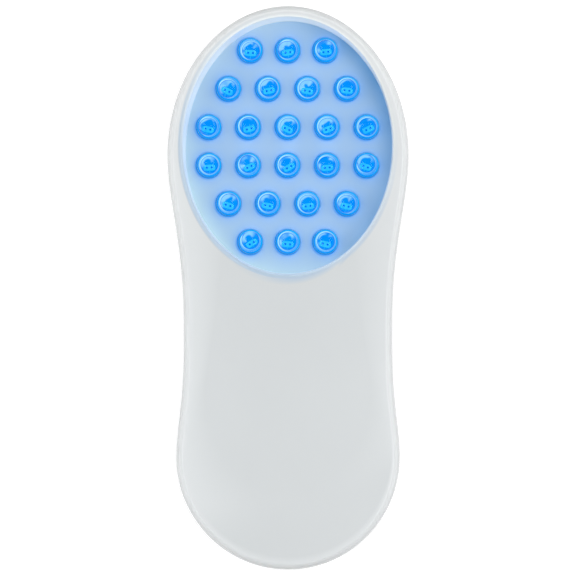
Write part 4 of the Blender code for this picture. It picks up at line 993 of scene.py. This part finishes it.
def bay_block():
    """The walls and ceiling of the battery bay."""
    return mesh_of(add_rounded_block, BAY_Y, BAY_HALF_WIDTH, BAY_LENGTH / 2, 0.0,
                   [(BAY_WALL, WALL / 2), (BAY_WALL, BAY_TOP_Z)])


def bay_slots():
    """Slots for the door's hooks and for the tabs of the two end contacts."""
    bm = bmesh.new()
    half = HOOK_WIDTH / 2 + GAP
    for side in (-1, 1):
        x = side * HOOK_PLACE_SHARE * BAY_HALF_WIDTH
        add_box(bm, (x - half, BAY_FOOT_Y - BAY_WALL - OVERRUN, WALL + GAP / 2),
                (x + half, BAY_FOOT_Y + OVERRUN, HOOK_TOP_Z + HOOK_ROOM))
    half = CONTACT_TAB_WIDTH / 2 + GAP
    for x, wall_y, inward in ((CELL_PLACES[0], BAY_HEAD_Y, -1), (CELL_PLACES[-1], BAY_FOOT_Y, 1)):
        low_y, high_y = sorted((wall_y, wall_y + inward * (CONTACT_SHEET + 2 * GAP)))
        add_box(bm, (x - half, low_y, BAY_CEILING_Z - OVERRUN), (x + half, high_y, BAY_TOP_Z + OVERRUN))
    return bm


def door_recess():
    """The opening in the back that the door fills, with a soft edge."""
    return mesh_of(add_rounded_block, DOOR_Y, DOOR_HALF_WIDTH + GAP, DOOR_LENGTH / 2 + GAP, DOOR_CORNER + GAP,
                   [(EDGE_ROUND, -OVERRUN), *soft_lip(0.0, 0.0), (0.0, WALL + GAP)])


def thumb_pad():
    """The thicker wall over the thumb scoop."""
    ring = circle_ring(Vector((0.0, CATCH_Y)), THUMB_RADIUS + CATCH_WALL, 0.0)
    bm = mesh_of(add_loft, [[Vector((p.x, max(p.y, CATCH_Y), z)) for p in ring]
                            for z in (WALL / 2, WALL + THUMB_PAD)])
    bmesh.ops.remove_doubles(bm, verts=bm.verts, dist=MERGE)
    return bm


def thumb_scoop():
    """A shallow scoop in the back beside the door's head end."""
    shares = [1.0 - step / BACK_STEPS for step in range(1, BACK_STEPS)]
    profile = [(THUMB_RADIUS, -OVERRUN), (THUMB_RADIUS, 0.0)]
    profile += [(THUMB_RADIUS * share, THUMB_DEPTH * (1.0 - share ** 2) ** 1.5) for share in shares]
    return mesh_of(add_turned, profile + [(0.0, THUMB_DEPTH)], Vector((0.0, CATCH_Y)))


def button_well():
    """The button's hole and the shallow dish round it."""
    hole = BUTTON_RADIUS + GAP
    rim = hole + BUTTON_DISH_MARGIN
    shares = [step / BACK_STEPS for step in range(BACK_STEPS)]
    profile = [(rim, -OVERRUN)]
    profile += [(rim + (hole + EDGE_ROUND - rim) * share, BUTTON_DISH_DEPTH * smooth_share(share))
                for share in shares]
    profile += soft_lip(hole, BUTTON_DISH_DEPTH) + [(hole, WALL + OVERRUN)]
    return mesh_of(add_turned, profile, WINDOW_CENTRE, 2 * HOLE_STEPS)


def screw_holes():
    """The counterbored screw holes in the back."""
    bm = bmesh.new()
    wide = SCREW_HEAD_RADIUS + SCREW_PLAY
    seat = SCREW_SINK + SCREW_HEAD_HEIGHT + GAP
    profile = [(wide + EDGE_ROUND, -OVERRUN), *soft_lip(wide, 0.0), (wide, seat), (PILOT_RADIUS, seat),
               (PILOT_RADIUS, PART_Z + OVERRUN)]
    for place in SCREW_PLACES:
        add_turned(bm, profile, place)
    return bm


def make_back(look):
    """Lower casing: rounded back, battery bay, button well, thumb scoop and screw holes."""
    half = LATCH_WIDTH / 2 + CATCH_WALL
    catch = mesh_of(add_box, (-half, CATCH_Y, WALL / 2), (half, CATCH_Y + CATCH_WALL, WALL + LATCH_RISE))
    bay = mesh_of(add_box, (-BAY_HALF_WIDTH, BAY_FOOT_Y, -OVERRUN), (BAY_HALF_WIDTH, BAY_HEAD_Y, BAY_CEILING_Z))
    steps = [("DIFFERENCE", back_cavity())]
    steps += [("UNION", bm) for bm in (back_posts(), bay_block(), catch, thumb_pad())]
    steps += [("DIFFERENCE", bm) for bm in (bay, door_recess(), bay_slots(), thumb_scoop(), button_well(),
                                            screw_holes())]
    piece = make_piece("back_casing", carve(back_body(), steps), look)
    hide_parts("back_shell")
    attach(piece, "body")


# Battery door


def door_plate():
    """The plate of the door, with soft edges."""
    return mesh_of(add_rounded_block, DOOR_Y, DOOR_HALF_WIDTH, DOOR_LENGTH / 2, DOOR_CORNER,
                   [(-inset, z) for inset, z in soft_lip(0.0, 0.0)] + [(0.0, WALL)])


def add_bar(bm, profile, middle, width):
    """A bar along X with a profile in Y and Z."""
    add_loft(bm, [[Vector((x, y, z)) for y, z in profile] for x in (middle - width / 2, middle + width / 2)])


def door_inside():
    """Hooks at the foot end, the springy latch at the head end, and ribs that lie between the cells."""
    bm = bmesh.new()
    low = WALL + GAP
    tip = DOOR_FOOT_Y - HOOK_REACH
    root = DOOR_FOOT_Y + DOOR_FOOT_LAP
    back = root + HOOK_THICK
    hook = [(tip, low), (root, low), (root, WALL / 2), (back, WALL / 2), (back, HOOK_TOP_Z), (tip, HOOK_TOP_Z)]
    for side in (-1, 1):
        add_bar(bm, hook, side * HOOK_PLACE_SHARE * BAY_HALF_WIDTH, HOOK_WIDTH)
    outer = DOOR_HEAD_Y - LATCH_SETBACK
    inner = outer - LATCH_THICK
    top = WALL + LATCH_RISE
    shares = [step / LATCH_BEAD_STEPS for step in range(LATCH_BEAD_STEPS + 1)]
    bead = [(outer + LATCH_BEAD * math.sin(math.pi * share), top - 3 * LATCH_BEAD * (1.0 - share))
            for share in shares]
    add_bar(bm, [(inner, WALL / 2), (outer, WALL / 2), *bead, (inner, top)], 0.0, LATCH_WIDTH)
    for left, right in zip(CELL_PLACES, CELL_PLACES[1:]):
        x = (left + right) / 2
        add_box(bm, (x - DOOR_RIB_WIDTH / 2, root + BAY_LENGTH / 4, WALL / 2),
                (x + DOOR_RIB_WIDTH / 2, root + 3 * BAY_LENGTH / 4, WALL + DOOR_RIB_RISE))
    return bm


def door_grooves():
    """Grip grooves across the door near its latch, each a rounded trough with round ends."""
    bm = bmesh.new()
    half_y = GROOVE_WIDTH / 2
    levels = [(0.0, -OVERRUN)]
    levels += [(-half_y * up, GROOVE_DEPTH * out) for out, up in quarter_turn(GROOVE_STEPS)[:-1]]
    for index in range(GROOVE_COUNT):
        y = DOOR_HEAD_Y - GROOVE_SETBACK - index * GROOVE_PITCH
        half_x = GROOVE_LENGTH / 2 * (1.0 - (GROOVE_COUNT - 1 - index) / (2.0 * GROOVE_COUNT))
        add_rounded_block(bm, y, half_x, half_y, half_y - GAP / 8, levels)
    return bm


def make_door(look):
    """The battery door, which hooks in at the foot end and snaps shut at the head end."""
    bm = carve(door_plate(), [("UNION", door_inside()), ("DIFFERENCE", door_grooves())])
    piece = make_piece("door_cover", bm, look)
    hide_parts("battery_door")
    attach(piece, "door")


# Button and screws


def make_push_button(look):
    """Round button with a shallow finger hollow and a soft edge."""
    flange_top = BUTTON_FLANGE_Z + BUTTON_FLANGE_HEIGHT
    wide = BUTTON_RADIUS + BUTTON_FLANGE
    edge = 2 * BUTTON_DOME
    inner = BUTTON_RADIUS - edge
    shares = [step / BACK_STEPS for step in range(BACK_STEPS + 1)]
    profile = [(inner * share, BUTTON_RECESS + BUTTON_HOLLOW * (1.0 - share ** 2) ** 2) for share in shares]
    profile += [(inner + edge * out, BUTTON_RECESS + edge * up)
                for out, up in quarter_turn(BUTTON_ROUND_STEPS)[1:]]
    profile += [(BUTTON_RADIUS, BUTTON_FLANGE_Z), (wide, BUTTON_FLANGE_Z), (wide, flange_top),
                (BUTTON_STEM_RADIUS, flange_top), (BUTTON_STEM_RADIUS, BUTTON_TOP_Z)]
    piece = make_piece("push_button", mesh_of(add_turned, profile, WINDOW_CENTRE, 2 * HOLE_STEPS), look)
    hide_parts("power_button")
    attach(piece, "button")


def cross_outline(reach, half, turn):
    """The outline of a cross with four equal arms."""
    points = []
    for quarter in range(4):
        spin = Matrix.Rotation(turn + quarter * math.pi / 2.0, 2)
        points += [spin @ Vector(corner) for corner in ((reach, -half), (reach, half), (half, half))]
    return points


def make_screws(look):
    """The casing screws, with cross recesses in their heads."""
    tip = PART_Z + SCREW_BITE - SCREW_SINK
    whole = bmesh.new()
    slots = bmesh.new()
    profile = [(0.0, 0.0), (SCREW_HEAD_RADIUS - EDGE_ROUND, 0.0)]
    profile += [(SCREW_HEAD_RADIUS - EDGE_ROUND * (1.0 - out), EDGE_ROUND * up)
                for out, up in quarter_turn(ROUND_STEPS)[1:]]
    profile += [(SCREW_HEAD_RADIUS, SCREW_HEAD_HEIGHT / 2), (SCREW_RADIUS, SCREW_HEAD_HEIGHT),
                (SCREW_RADIUS, tip - SCREW_TIP), (0.0, tip)]
    profile = [(radius, SCREW_SINK + z) for radius, z in profile]
    for index, place in enumerate(SCREW_PLACES):
        add_turned(whole, profile, place, HOLE_STEPS // 2)
        rings = []
        for z, taper in ((SCREW_SINK - OVERRUN, 1.0), (SCREW_SINK, 1.0), (SCREW_SINK + SLOT_DEPTH, SLOT_TAPER)):
            ring = cross_outline(taper * SLOT_REACH, taper * SLOT_WIDTH / 2, SLOT_TURN * index)
            rings.append([Vector((place.x + p.x, place.y + p.y, z)) for p in ring])
        add_loft(slots, rings)
    piece = make_piece("casing_screws", carve(whole, [("DIFFERENCE", slots)]), look)
    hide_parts(*[f"casing_screw_{number}" for number in range(1, 5)])
    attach(piece, "body")


# Cells and their springs


def cell_profile():
    """Outline of a cell: crimped flat end, wrapped body, and the raised nub."""
    body = CELL_LENGTH - CELL_NUB_HEIGHT
    edge = CELL_EDGE
    rounded = quarter_turn(ROUND_STEPS)
    profile = [(0.0, edge / 2), (CELL_RADIUS - 2 * edge, edge / 2), (CELL_RADIUS - 2 * edge, 0.0)]
    profile += [(CELL_RADIUS - edge + edge * out, edge * up) for out, up in rounded]
    profile += [(CELL_RADIUS - edge + edge * out, body - edge * up) for out, up in reversed(rounded)]
    profile += [(CELL_RADIUS - 2 * edge, body), (CELL_RADIUS - 2 * edge, body - edge),
                (CELL_NUB_RADIUS, body - edge)]
    profile += [(CELL_NUB_RADIUS - edge + edge * out, CELL_LENGTH - edge * up) for out, up in reversed(rounded)]
    return profile + [(0.0, CELL_LENGTH)]


def cell_tones(point, stands):
    """How far a point lies along its cell and out from the cell's middle line, as shares."""
    number = min(range(CELL_COUNT), key=lambda index: abs(point.x - CELL_PLACES[index]))
    local = stands[number].inverted() @ point
    return {"along": local.z / CELL_LENGTH, "out": math.hypot(local.x, local.y) / CELL_RADIUS}


def make_cells(look):
    """Three cells side by side, their nubs pointing to the head, the foot and the head."""
    bm = bmesh.new()
    end = CONTACT_SHEET + 2 * GAP
    stands = []
    for index, x in enumerate(CELL_PLACES):
        wall_y, inward = (BAY_FOOT_Y, 1) if index % 2 else (BAY_HEAD_Y, -1)
        place = Matrix.Translation((x, wall_y + inward * end + inward * CELL_LENGTH, CELL_Z))
        stands.append(place @ Matrix.Rotation(inward * math.pi / 2, 4, "X"))
        add_turned(bm, cell_profile(), Vector((0.0, 0.0)), HOLE_STEPS, stands[-1])
    piece = make_piece("battery_cells", bm, look)
    store(piece, cell_tones, stands)
    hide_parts(*[f"battery_cell_{number}" for number in range(1, CELL_COUNT + 1)])
    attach(piece, "body")


def add_wire(bm, points, radius):
    """A round wire along a list of points, with closed ends."""
    rings = []
    side = Vector((0.0, 1.0, 0.0))
    for index, point in enumerate(points):
        along = points[min(index + 1, len(points) - 1)] - points[max(index - 1, 0)]
        across = along.cross(side).normalized()
        lift = across.cross(along).normalized()
        rings.append([point + radius * (across * math.cos(angle) + lift * math.sin(angle))
                      for angle in round_angles(WIRE_SIDES)])
    add_loft(bm, rings)


def make_springs(look):
    """The three conical contact springs."""
    bm = bmesh.new()
    turns = SPRING_TURNS * SPRING_STEPS
    length = SPRING_SPACE - 2 * SPRING_WIRE_RADIUS
    for index, x in enumerate(CELL_PLACES):
        wall_y, inward = (BAY_HEAD_Y, -1) if index % 2 else (BAY_FOOT_Y, 1)
        start = wall_y + inward * (CONTACT_SHEET + 2 * GAP + SPRING_WIRE_RADIUS)
        points = []
        for step in range(turns + 1):
            share = step / turns
            angle = 2.0 * math.pi * step / SPRING_STEPS
            radius = SPRING_FOOT_RADIUS + (SPRING_TIP_RADIUS - SPRING_FOOT_RADIUS) * share
            points.append(Vector((x + radius * math.cos(angle), start + inward * length * share,
                                  CELL_Z + radius * math.sin(angle))))
        add_wire(bm, points, SPRING_WIRE_RADIUS)
    piece = make_piece("contact_spring_wires", bm, look, sharp=50.0)
    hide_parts(*[f"contact_spring_{number}" for number in range(1, 4)])
    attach(piece, "body")


# Lamp plate


def ring_edges(start, count):
    """The edges that join a ring of points."""
    return [(start + index, start + (index + 1) % count) for index in range(count)]


def off_holes(point, places):
    """How far a point lies outside the holes at some places."""
    return nearest(point, places)[1].length - HOLE_RADIUS


def plate_grid():
    """Points between the holes, in staggered rows."""
    columns = int(WINDOW_HALF_WIDTH / PANEL_GRID)
    rows = int(WINDOW_HALF_LENGTH / PANEL_GRID)
    points = [WINDOW_CENTRE + Vector(((column + 0.5 * (row % 2)) * PANEL_GRID, row * PANEL_GRID))
              for row in range(-rows, rows + 1) for column in range(-columns, columns + 1)]
    return [point for point in points
            if oval_share(point) < PANEL_GRID_SHARE and off_holes(point, LAMP_PLACES) > PANEL_GRID_OFF]


def plate_painted_light(point, places):
    """The painted light at a point: a painted blue glow and a painted shadow ring round the holes, painted light
    along one side of the window and painted shade along the other.
    """
    off = max(off_holes(point.xy, places), 0.0)
    out = point.xy - WINDOW_CENTRE
    direction = out.normalized() if out.length else GLOW_SIDE
    inward = max((well_point(direction) - WINDOW_CENTRE).length - out.length, 0.0)
    # Painted light along one side of the window, and a little all round.
    lit = facing(direction, GLOW_SIDE) ** GLOW_POWER + GLOW_LEAST * (1.0 - facing(direction, SHADE_SIDE))
    lit += GLOW_TOP * facing(direction, LEAN_SIDE) ** 2
    # Painted shade along one side of the window, deepest towards the upper right.
    dim = smooth_share((direction.dot(SHADE_SIDE) + SHADE_START) / SHADE_RUN)
    dim *= SHADE_FLAT + SHADE_DEEP * facing(direction, DEEP_SIDE) ** DEEP_POWER
    return {"halo": math.exp(-off / HALO_REACH), "ring": math.exp(-(off / HALO_RING) ** 2),
            "edge": min(lit, 1.0) * math.exp(-inward / GLOW_REACH),
            "shade": dim * math.exp(-(inward / SHADE_REACH) ** SHADE_POWER)}


def make_plate(look):
    """The plate under the window, with a soft-edged round hole for each lamp."""
    directions = [Vector((math.cos(angle), math.sin(angle))) for angle in round_angles(PANEL_STEPS)]
    border = [oval_point(direction, BOARD_LAP) for direction in directions]
    points = border + [oval_point(direction) for direction in directions]
    edges = ring_edges(0, PANEL_STEPS)
    for place in LAMP_PLACES:
        edges += ring_edges(len(points), HOLE_STEPS)
        points += [p.xy for p in circle_ring(place, HOLE_RADIUS + PANEL_EDGE, 0.0)]
        for extra in PANEL_RINGS:
            points += [p.xy for p in circle_ring(place, HOLE_RADIUS + PANEL_EDGE + extra, 0.0, HOLE_STEPS // 2)]
    flat, _, faces, *_ = geometry.delaunay_2d_cdt(points + plate_grid(), edges, [], 0, PANEL_MERGE)
    bm = bmesh.new()
    verts = [bm.verts.new((*point, PANEL_TOP)) for point in flat]
    for face in faces:
        middle = sum((flat[i] for i in face), Vector((0.0, 0.0))) / len(face)
        if oval_share(middle, BOARD_LAP) < 1.0 and off_holes(middle, LAMP_PLACES) > 0.0:
            bm.faces.new([verts[i] for i in face])
    bmesh.ops.delete(bm, geom=[v for v in bm.verts if not v.link_faces], context="VERTS")
    bottom = PANEL_TOP - PANEL_THICK
    levels = [(PANEL_EDGE * (1.0 - out), PANEL_TOP - PANEL_EDGE * up)
              for out, up in quarter_turn(PANEL_EDGE_STEPS)]
    for place in LAMP_PLACES:
        rings = [circle_ring(place, HOLE_RADIUS + wide, z) for wide, z in (*levels, (0.0, bottom))]
        add_loft(bm, rings, False, False)
    add_loft(bm, [[Vector((*p, z)) for p in border] for z in (PANEL_TOP, bottom)], False, False)
    piece = make_piece("lamp_plate", bm, look)
    store(piece, plate_painted_light, [place + HALO_SHIFT for place in LAMP_PLACES])
    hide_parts("lamp_panel")
    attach(piece, "body")


# Lamps


def lens_profile():
    """Outline of a lamp's resin: flange, straight body and dome."""
    shoulder = LED_HEIGHT - LED_RADIUS
    profile = [(0.0, 0.0), (LED_FLANGE_RADIUS - LED_EDGE, 0.0), (LED_FLANGE_RADIUS, LED_EDGE),
               (LED_FLANGE_RADIUS, LED_FLANGE_HEIGHT - LED_EDGE),
               (LED_FLANGE_RADIUS - LED_EDGE, LED_FLANGE_HEIGHT),
               (LED_RADIUS + LED_EDGE, LED_FLANGE_HEIGHT), (LED_RADIUS, LED_FLANGE_HEIGHT + LED_EDGE)]
    for step in range(LED_DOME_STEPS):
        angle = math.pi / 2.0 * step / LED_DOME_STEPS
        profile.append((LED_RADIUS * math.cos(angle), shoulder + LED_RADIUS * math.sin(angle)))
    return profile + [(0.0, shoulder + LED_RADIUS)]


def make_lenses(look):
    """The resin of all the lamps."""
    bm = bmesh.new()
    profile = [(radius, LED_Z + height) for radius, height in lens_profile()]
    for place in LAMP_PLACES:
        add_turned(bm, profile, place, LED_STEPS)
    piece = make_piece("lamp_lenses", bm, look, sharp=50.0)
    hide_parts(*[f"led_{number:02d}" for number in range(1, sum(LAMP_ROWS) + 1)])
    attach(piece, "body")


def out_to(side, away):
    """How far out to a side a place lies."""
    return side[0] * away.x + side[1] * away.y


def core_tones(point):
    """How brightly a point of the floor is lit."""
    lit = smooth_share(0.5 + 0.5 * out_to(CORE_SIDE, nearest(point.xy, LAMP_PLACES)[1]) / LED_RADIUS)
    return {"glow": CORE_LEAST + (1.0 - CORE_LEAST) * lit}


def make_cores(look):
    """The lit floor inside each lamp."""
    bm = bmesh.new()
    radius = LED_FLANGE_RADIUS - 2 * LED_EDGE
    for place in LAMP_PLACES:
        rings = [circle_ring(place, radius, LED_Z + CORE_LIFT / 2)]
        rings += [circle_ring(place, radius * (1.0 - step / CORE_RINGS), LED_Z + CORE_LIFT)
                  for step in range(CORE_RINGS)]
        add_loft(bm, rings)
    piece = make_piece("lamp_cores", bm, look)
    store(piece, core_tones)
    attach(piece, "body")


def chance(x, y, z):
    """A steady odd number, from about -1 to 1, read at a place in a field of noise."""
    return noise.noise(Vector((x, y, z)))


def leadframe_stand(number, place):
    """Where a lamp's lead frame stands: turned about to the foot, leaning and a little off its centre."""
    turn = Matrix.Rotation(FRAME_TURN * chance(number * 1.7, 0.3, 0.9) - math.pi / 2.0, 4, "Z")
    lean = Matrix.Rotation(FRAME_LEAN * chance(number * 2.3, 5.1, 0.2), 4, "X")
    lean = lean @ Matrix.Rotation(FRAME_LEAN * chance(0.7, number * 1.9, 3.3), 4, "Y")
    shift = Vector((chance(number * 3.1, 1.0, 7.7), chance(2.2, 8.0, number * 2.7), 0.0))
    return Matrix.Translation(Vector((place.x, place.y, LED_Z)) + FRAME_STRAY * shift) @ turn @ lean


def cup_profile(low):
    """Outline of the reflector cup, from its underside over its rim to the middle of its floor."""
    floor = CUP_FLOOR_RADIUS - CUP_WALL
    mouth = CUP_MOUTH - CUP_RING
    shares = [step / CUP_STEPS for step in range(1, CUP_STEPS + 1)]
    profile = [(0.0, low), (CUP_FLOOR_RADIUS, low), (CUP_RADIUS, CUP_TOP - CUP_WALL), (CUP_RADIUS, CUP_TOP)]
    profile += [(CUP_MOUTH + rings * CUP_RING, CUP_TOP) for rings in (4, 2, 1, 0)]
    profile.append((mouth, CUP_TOP - CUP_RING))
    profile += [(mouth + (floor - CUP_MOUTH + CUP_RING) * share,
                 CUP_TOP - CUP_RING + (CUP_RING - CUP_DEPTH) * share) for share in shares]
    return profile + [(floor * (1.0 - share), CUP_TOP - CUP_DEPTH) for share in shares]


def add_plate(bm, outline, stand):
    """A flat sheet of the lead frame, with an outline in X and Z."""
    add_loft(bm, [[stand @ Vector((x, y, z)) for x, z in outline] for y in (-FRAME_THICK / 2, FRAME_THICK / 2)])


def add_head(bm, stand):
    """The flat head of the post, reaching over the cup, and the bond wire that leaves it."""
    corners = [tuple(math.copysign(abs(way) ** HEAD_SQUARENESS, way) for way in (math.cos(angle), math.sin(angle)))
               for angle in round_angles(HEAD_ROUND_STEPS)]
    outline = [(HEAD_MIDDLE + (HEAD_FAR - HEAD_NEAR) / 2 * x, HEAD_HALF * y) for x, y in corners]
    near, far = CUP_RADIUS + 2 * POST_GAP, HEAD_FAR - BOND_HALF
    wire = ((far, -BOND_HALF), (near, -BOND_HALF), (near, BOND_HALF), (far, BOND_HALF))
    for plan, levels in ((outline, (POST_TOP, POST_TOP + HEAD_THICK)),
                         (wire, (POST_TOP - BOND_HALF, POST_TOP + BOND_HALF))):
        add_loft(bm, [[stand @ Vector((x, y, z)) for x, y in plan] for z in levels])


def leadframe_tones(point, stands):
    """The painted highlights on the rim and cap inside a cup, the dark line within the rim, and the dark pits of
    the head.
    """
    number, away = nearest(point.xy, LAMP_PLACES)
    local = stands[number].inverted() @ point
    if local.z > POST_TOP + HEAD_THICK / 2:
        return {"painted_highlight": 0.0, "dark": 1.0}
    beyond = local.xy.length - CUP_MOUTH
    on_rim = smooth_share(beyond / CUP_RING) * smooth_share((5.0 * CUP_RING - beyond) / (2.0 * CUP_RING))
    # Painted highlight: the rim brighter on one side, and a pale cap on part of the cup's floor and wall.
    lit = smooth_share(0.5 + 0.5 * out_to(CUP_SIDE, away) / CUP_RADIUS)
    toward = out_to(CAP_SIDE, away) / max(away.length, CUP_RING)
    start = CAP_START - 0.5 * chance(number * 3.1, 1.7, 1.5 * toward)
    cap = smooth_share(1.6 * toward + 0.1 + chance(number * 4.3, 6.1, 2.2))
    cap *= smooth_share((local.xy.length / CUP_MOUTH - start) / CAP_RUN)
    cap *= smooth_share(-beyond / (4.0 * CUP_RING))
    cap *= smooth_share(0.8 + 1.4 * chance(1.4, number * 3.7, 9.2 + 2.0 * toward))
    line = smooth_share(1.0 + beyond / (6.0 * CUP_RING)) * (1.0 - on_rim) * (beyond < CUP_RING)
    return {"painted_highlight": on_rim * (RIM_LEAST + (1.0 - RIM_LEAST) * lit) + CAP_SHARE * cap, "dark": line}


def make_leadframes(look, cup_material):
    """The leads inside each lamp: the anvil with its reflector cup, and the post with its flat head and pits."""
    bm = bmesh.new()
    cup_low = CUP_TOP - CUP_DEPTH - CUP_WALL
    anvil = [(-ANVIL_FOOT_HALF, CORE_LIFT), (ANVIL_FOOT_HALF, CORE_LIFT), (ANVIL_FOOT_HALF, ANVIL_LOW),
             (CUP_FLOOR_RADIUS, ANVIL_LOW + CUP_RADIUS), (CUP_FLOOR_RADIUS, cup_low),
             (-CUP_FLOOR_RADIUS, cup_low), (-CUP_FLOOR_RADIUS, ANVIL_LOW + CUP_RADIUS)]
    near = CUP_RADIUS + POST_GAP
    far = near + POST_WIDTH
    post = [(near, CORE_LIFT), (far, CORE_LIFT), (far, POST_TOP - POST_WIDTH / 3),
            (near + POST_WIDTH / 3, POST_TOP), (near, POST_TOP)]
    pit = [(PIT_RADIUS, POST_TOP + HEAD_THICK), (PIT_RADIUS / 2, POST_TOP + HEAD_THICK + CORE_LIFT / 3)]
    stands = [leadframe_stand(number, place) for number, place in enumerate(LAMP_PLACES, start=1)]
    for stand in stands:
        add_plate(bm, anvil, stand)
        add_plate(bm, post, stand)
        add_head(bm, stand)
        start = len(bm.faces)
        for side in (-1, 1):
            add_turned(bm, pit, Vector((HEAD_MIDDLE, side * PIT_OUT)), PIT_STEPS, stand)
        add_turned(bm, cup_profile(cup_low), Vector((0.0, 0.0)), CUP_ROUND_STEPS, stand)
        bm.faces.ensure_lookup_table()
        for face in bm.faces[start:]:
            face.material_index = 1
    piece = make_piece("lamp_leadframes", bm, look, cup_material)
    store(piece, leadframe_tones, stands)
    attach(piece, "body")


# Stage


def make_world():
    """Soft light from all round, a little dimmer overhead, with a white background."""
    world = bpy.data.worlds.new("studio")
    sky = Look(world)
    place = sky.add("ShaderNodeTexCoord").outputs["Generated"]
    height = sky.add("ShaderNodeSeparateXYZ", {0: place}).outputs["Z"]
    tone = sky.ramp(height, *[(stop, tuple(level * share for share in SKY_TONE)) for stop, level in SKY_STOPS])
    light = sky.add("ShaderNodeBackground", {"Color": tone})
    white = sky.add("ShaderNodeBackground", {"Color": (1.0, 1.0, 1.0)})
    seen = sky.add("ShaderNodeLightPath").outputs["Is Camera Ray"]
    mix = sky.add("ShaderNodeMixShader", {0: seen, 1: light.outputs[0], 2: white.outputs[0]})
    sky.fill(sky.tree.nodes["World Output"].inputs, {"Surface": mix.outputs[0]})
    bpy.context.scene.world = world


def add_light(name, place, size, power, colour):
    """A soft light that faces the middle of the object, its long side along Y."""
    light = bpy.data.lights.new(name, "AREA")
    light.shape = "RECTANGLE"
    light.size, light.size_y = size
    light.energy = power
    light.color = colour
    stand = place_item(name, light, place)
    aim = -Vector(place).normalized()
    across = aim.cross(Vector((0.0, 1.0, 0.0))).normalized()
    stand.rotation_euler = Matrix((across, across.cross(aim), -aim)).transposed().to_euler()


def make_stage():
    """White floor, plain soft light and the camera."""
    bm = bmesh.new()
    bmesh.ops.create_grid(bm, x_segments=1, y_segments=1, size=FLOOR_HALF)
    floor = make_piece("floor", bm, floor_look())
    floor.location.z = -FLOOR_DROP
    make_world()
    add_light("key", *KEY_LIGHT)
    for side in (-1, 1):
        for name, ((x, y, z), *rest) in (("box", SIDE_BOXES), ("strip", SIDE_STRIPS)):
            add_light(f"{name}_{side}", (side * x, y, z), *rest)
    camera = bpy.data.cameras.new("camera")
    camera.sensor_width = SENSOR
    camera.lens = SENSOR * (CAMERA_HEIGHT - PART_Z) / PICTURE_WIDTH
    camera.clip_end = CAMERA_REACH
    bpy.context.scene.camera = place_item("camera", camera, (0.0, 0.0, CAMERA_HEIGHT))
    bpy.context.scene.view_settings.view_transform = "Standard"


def main():
    make_stage()
    shell = shell_look()
    make_front(shell)
    make_plate(panel_look())
    make_lenses(lens_look())
    make_cores(core_look())
    make_leadframes(leadframe_look(), cup_look())
    make_back(shell)
    make_door(shell)
    make_push_button(button_look())
    steel = steel_look()
    make_screws(steel)
    make_cells(cell_look())
    make_springs(steel)
    dress_inside(steel)


main()
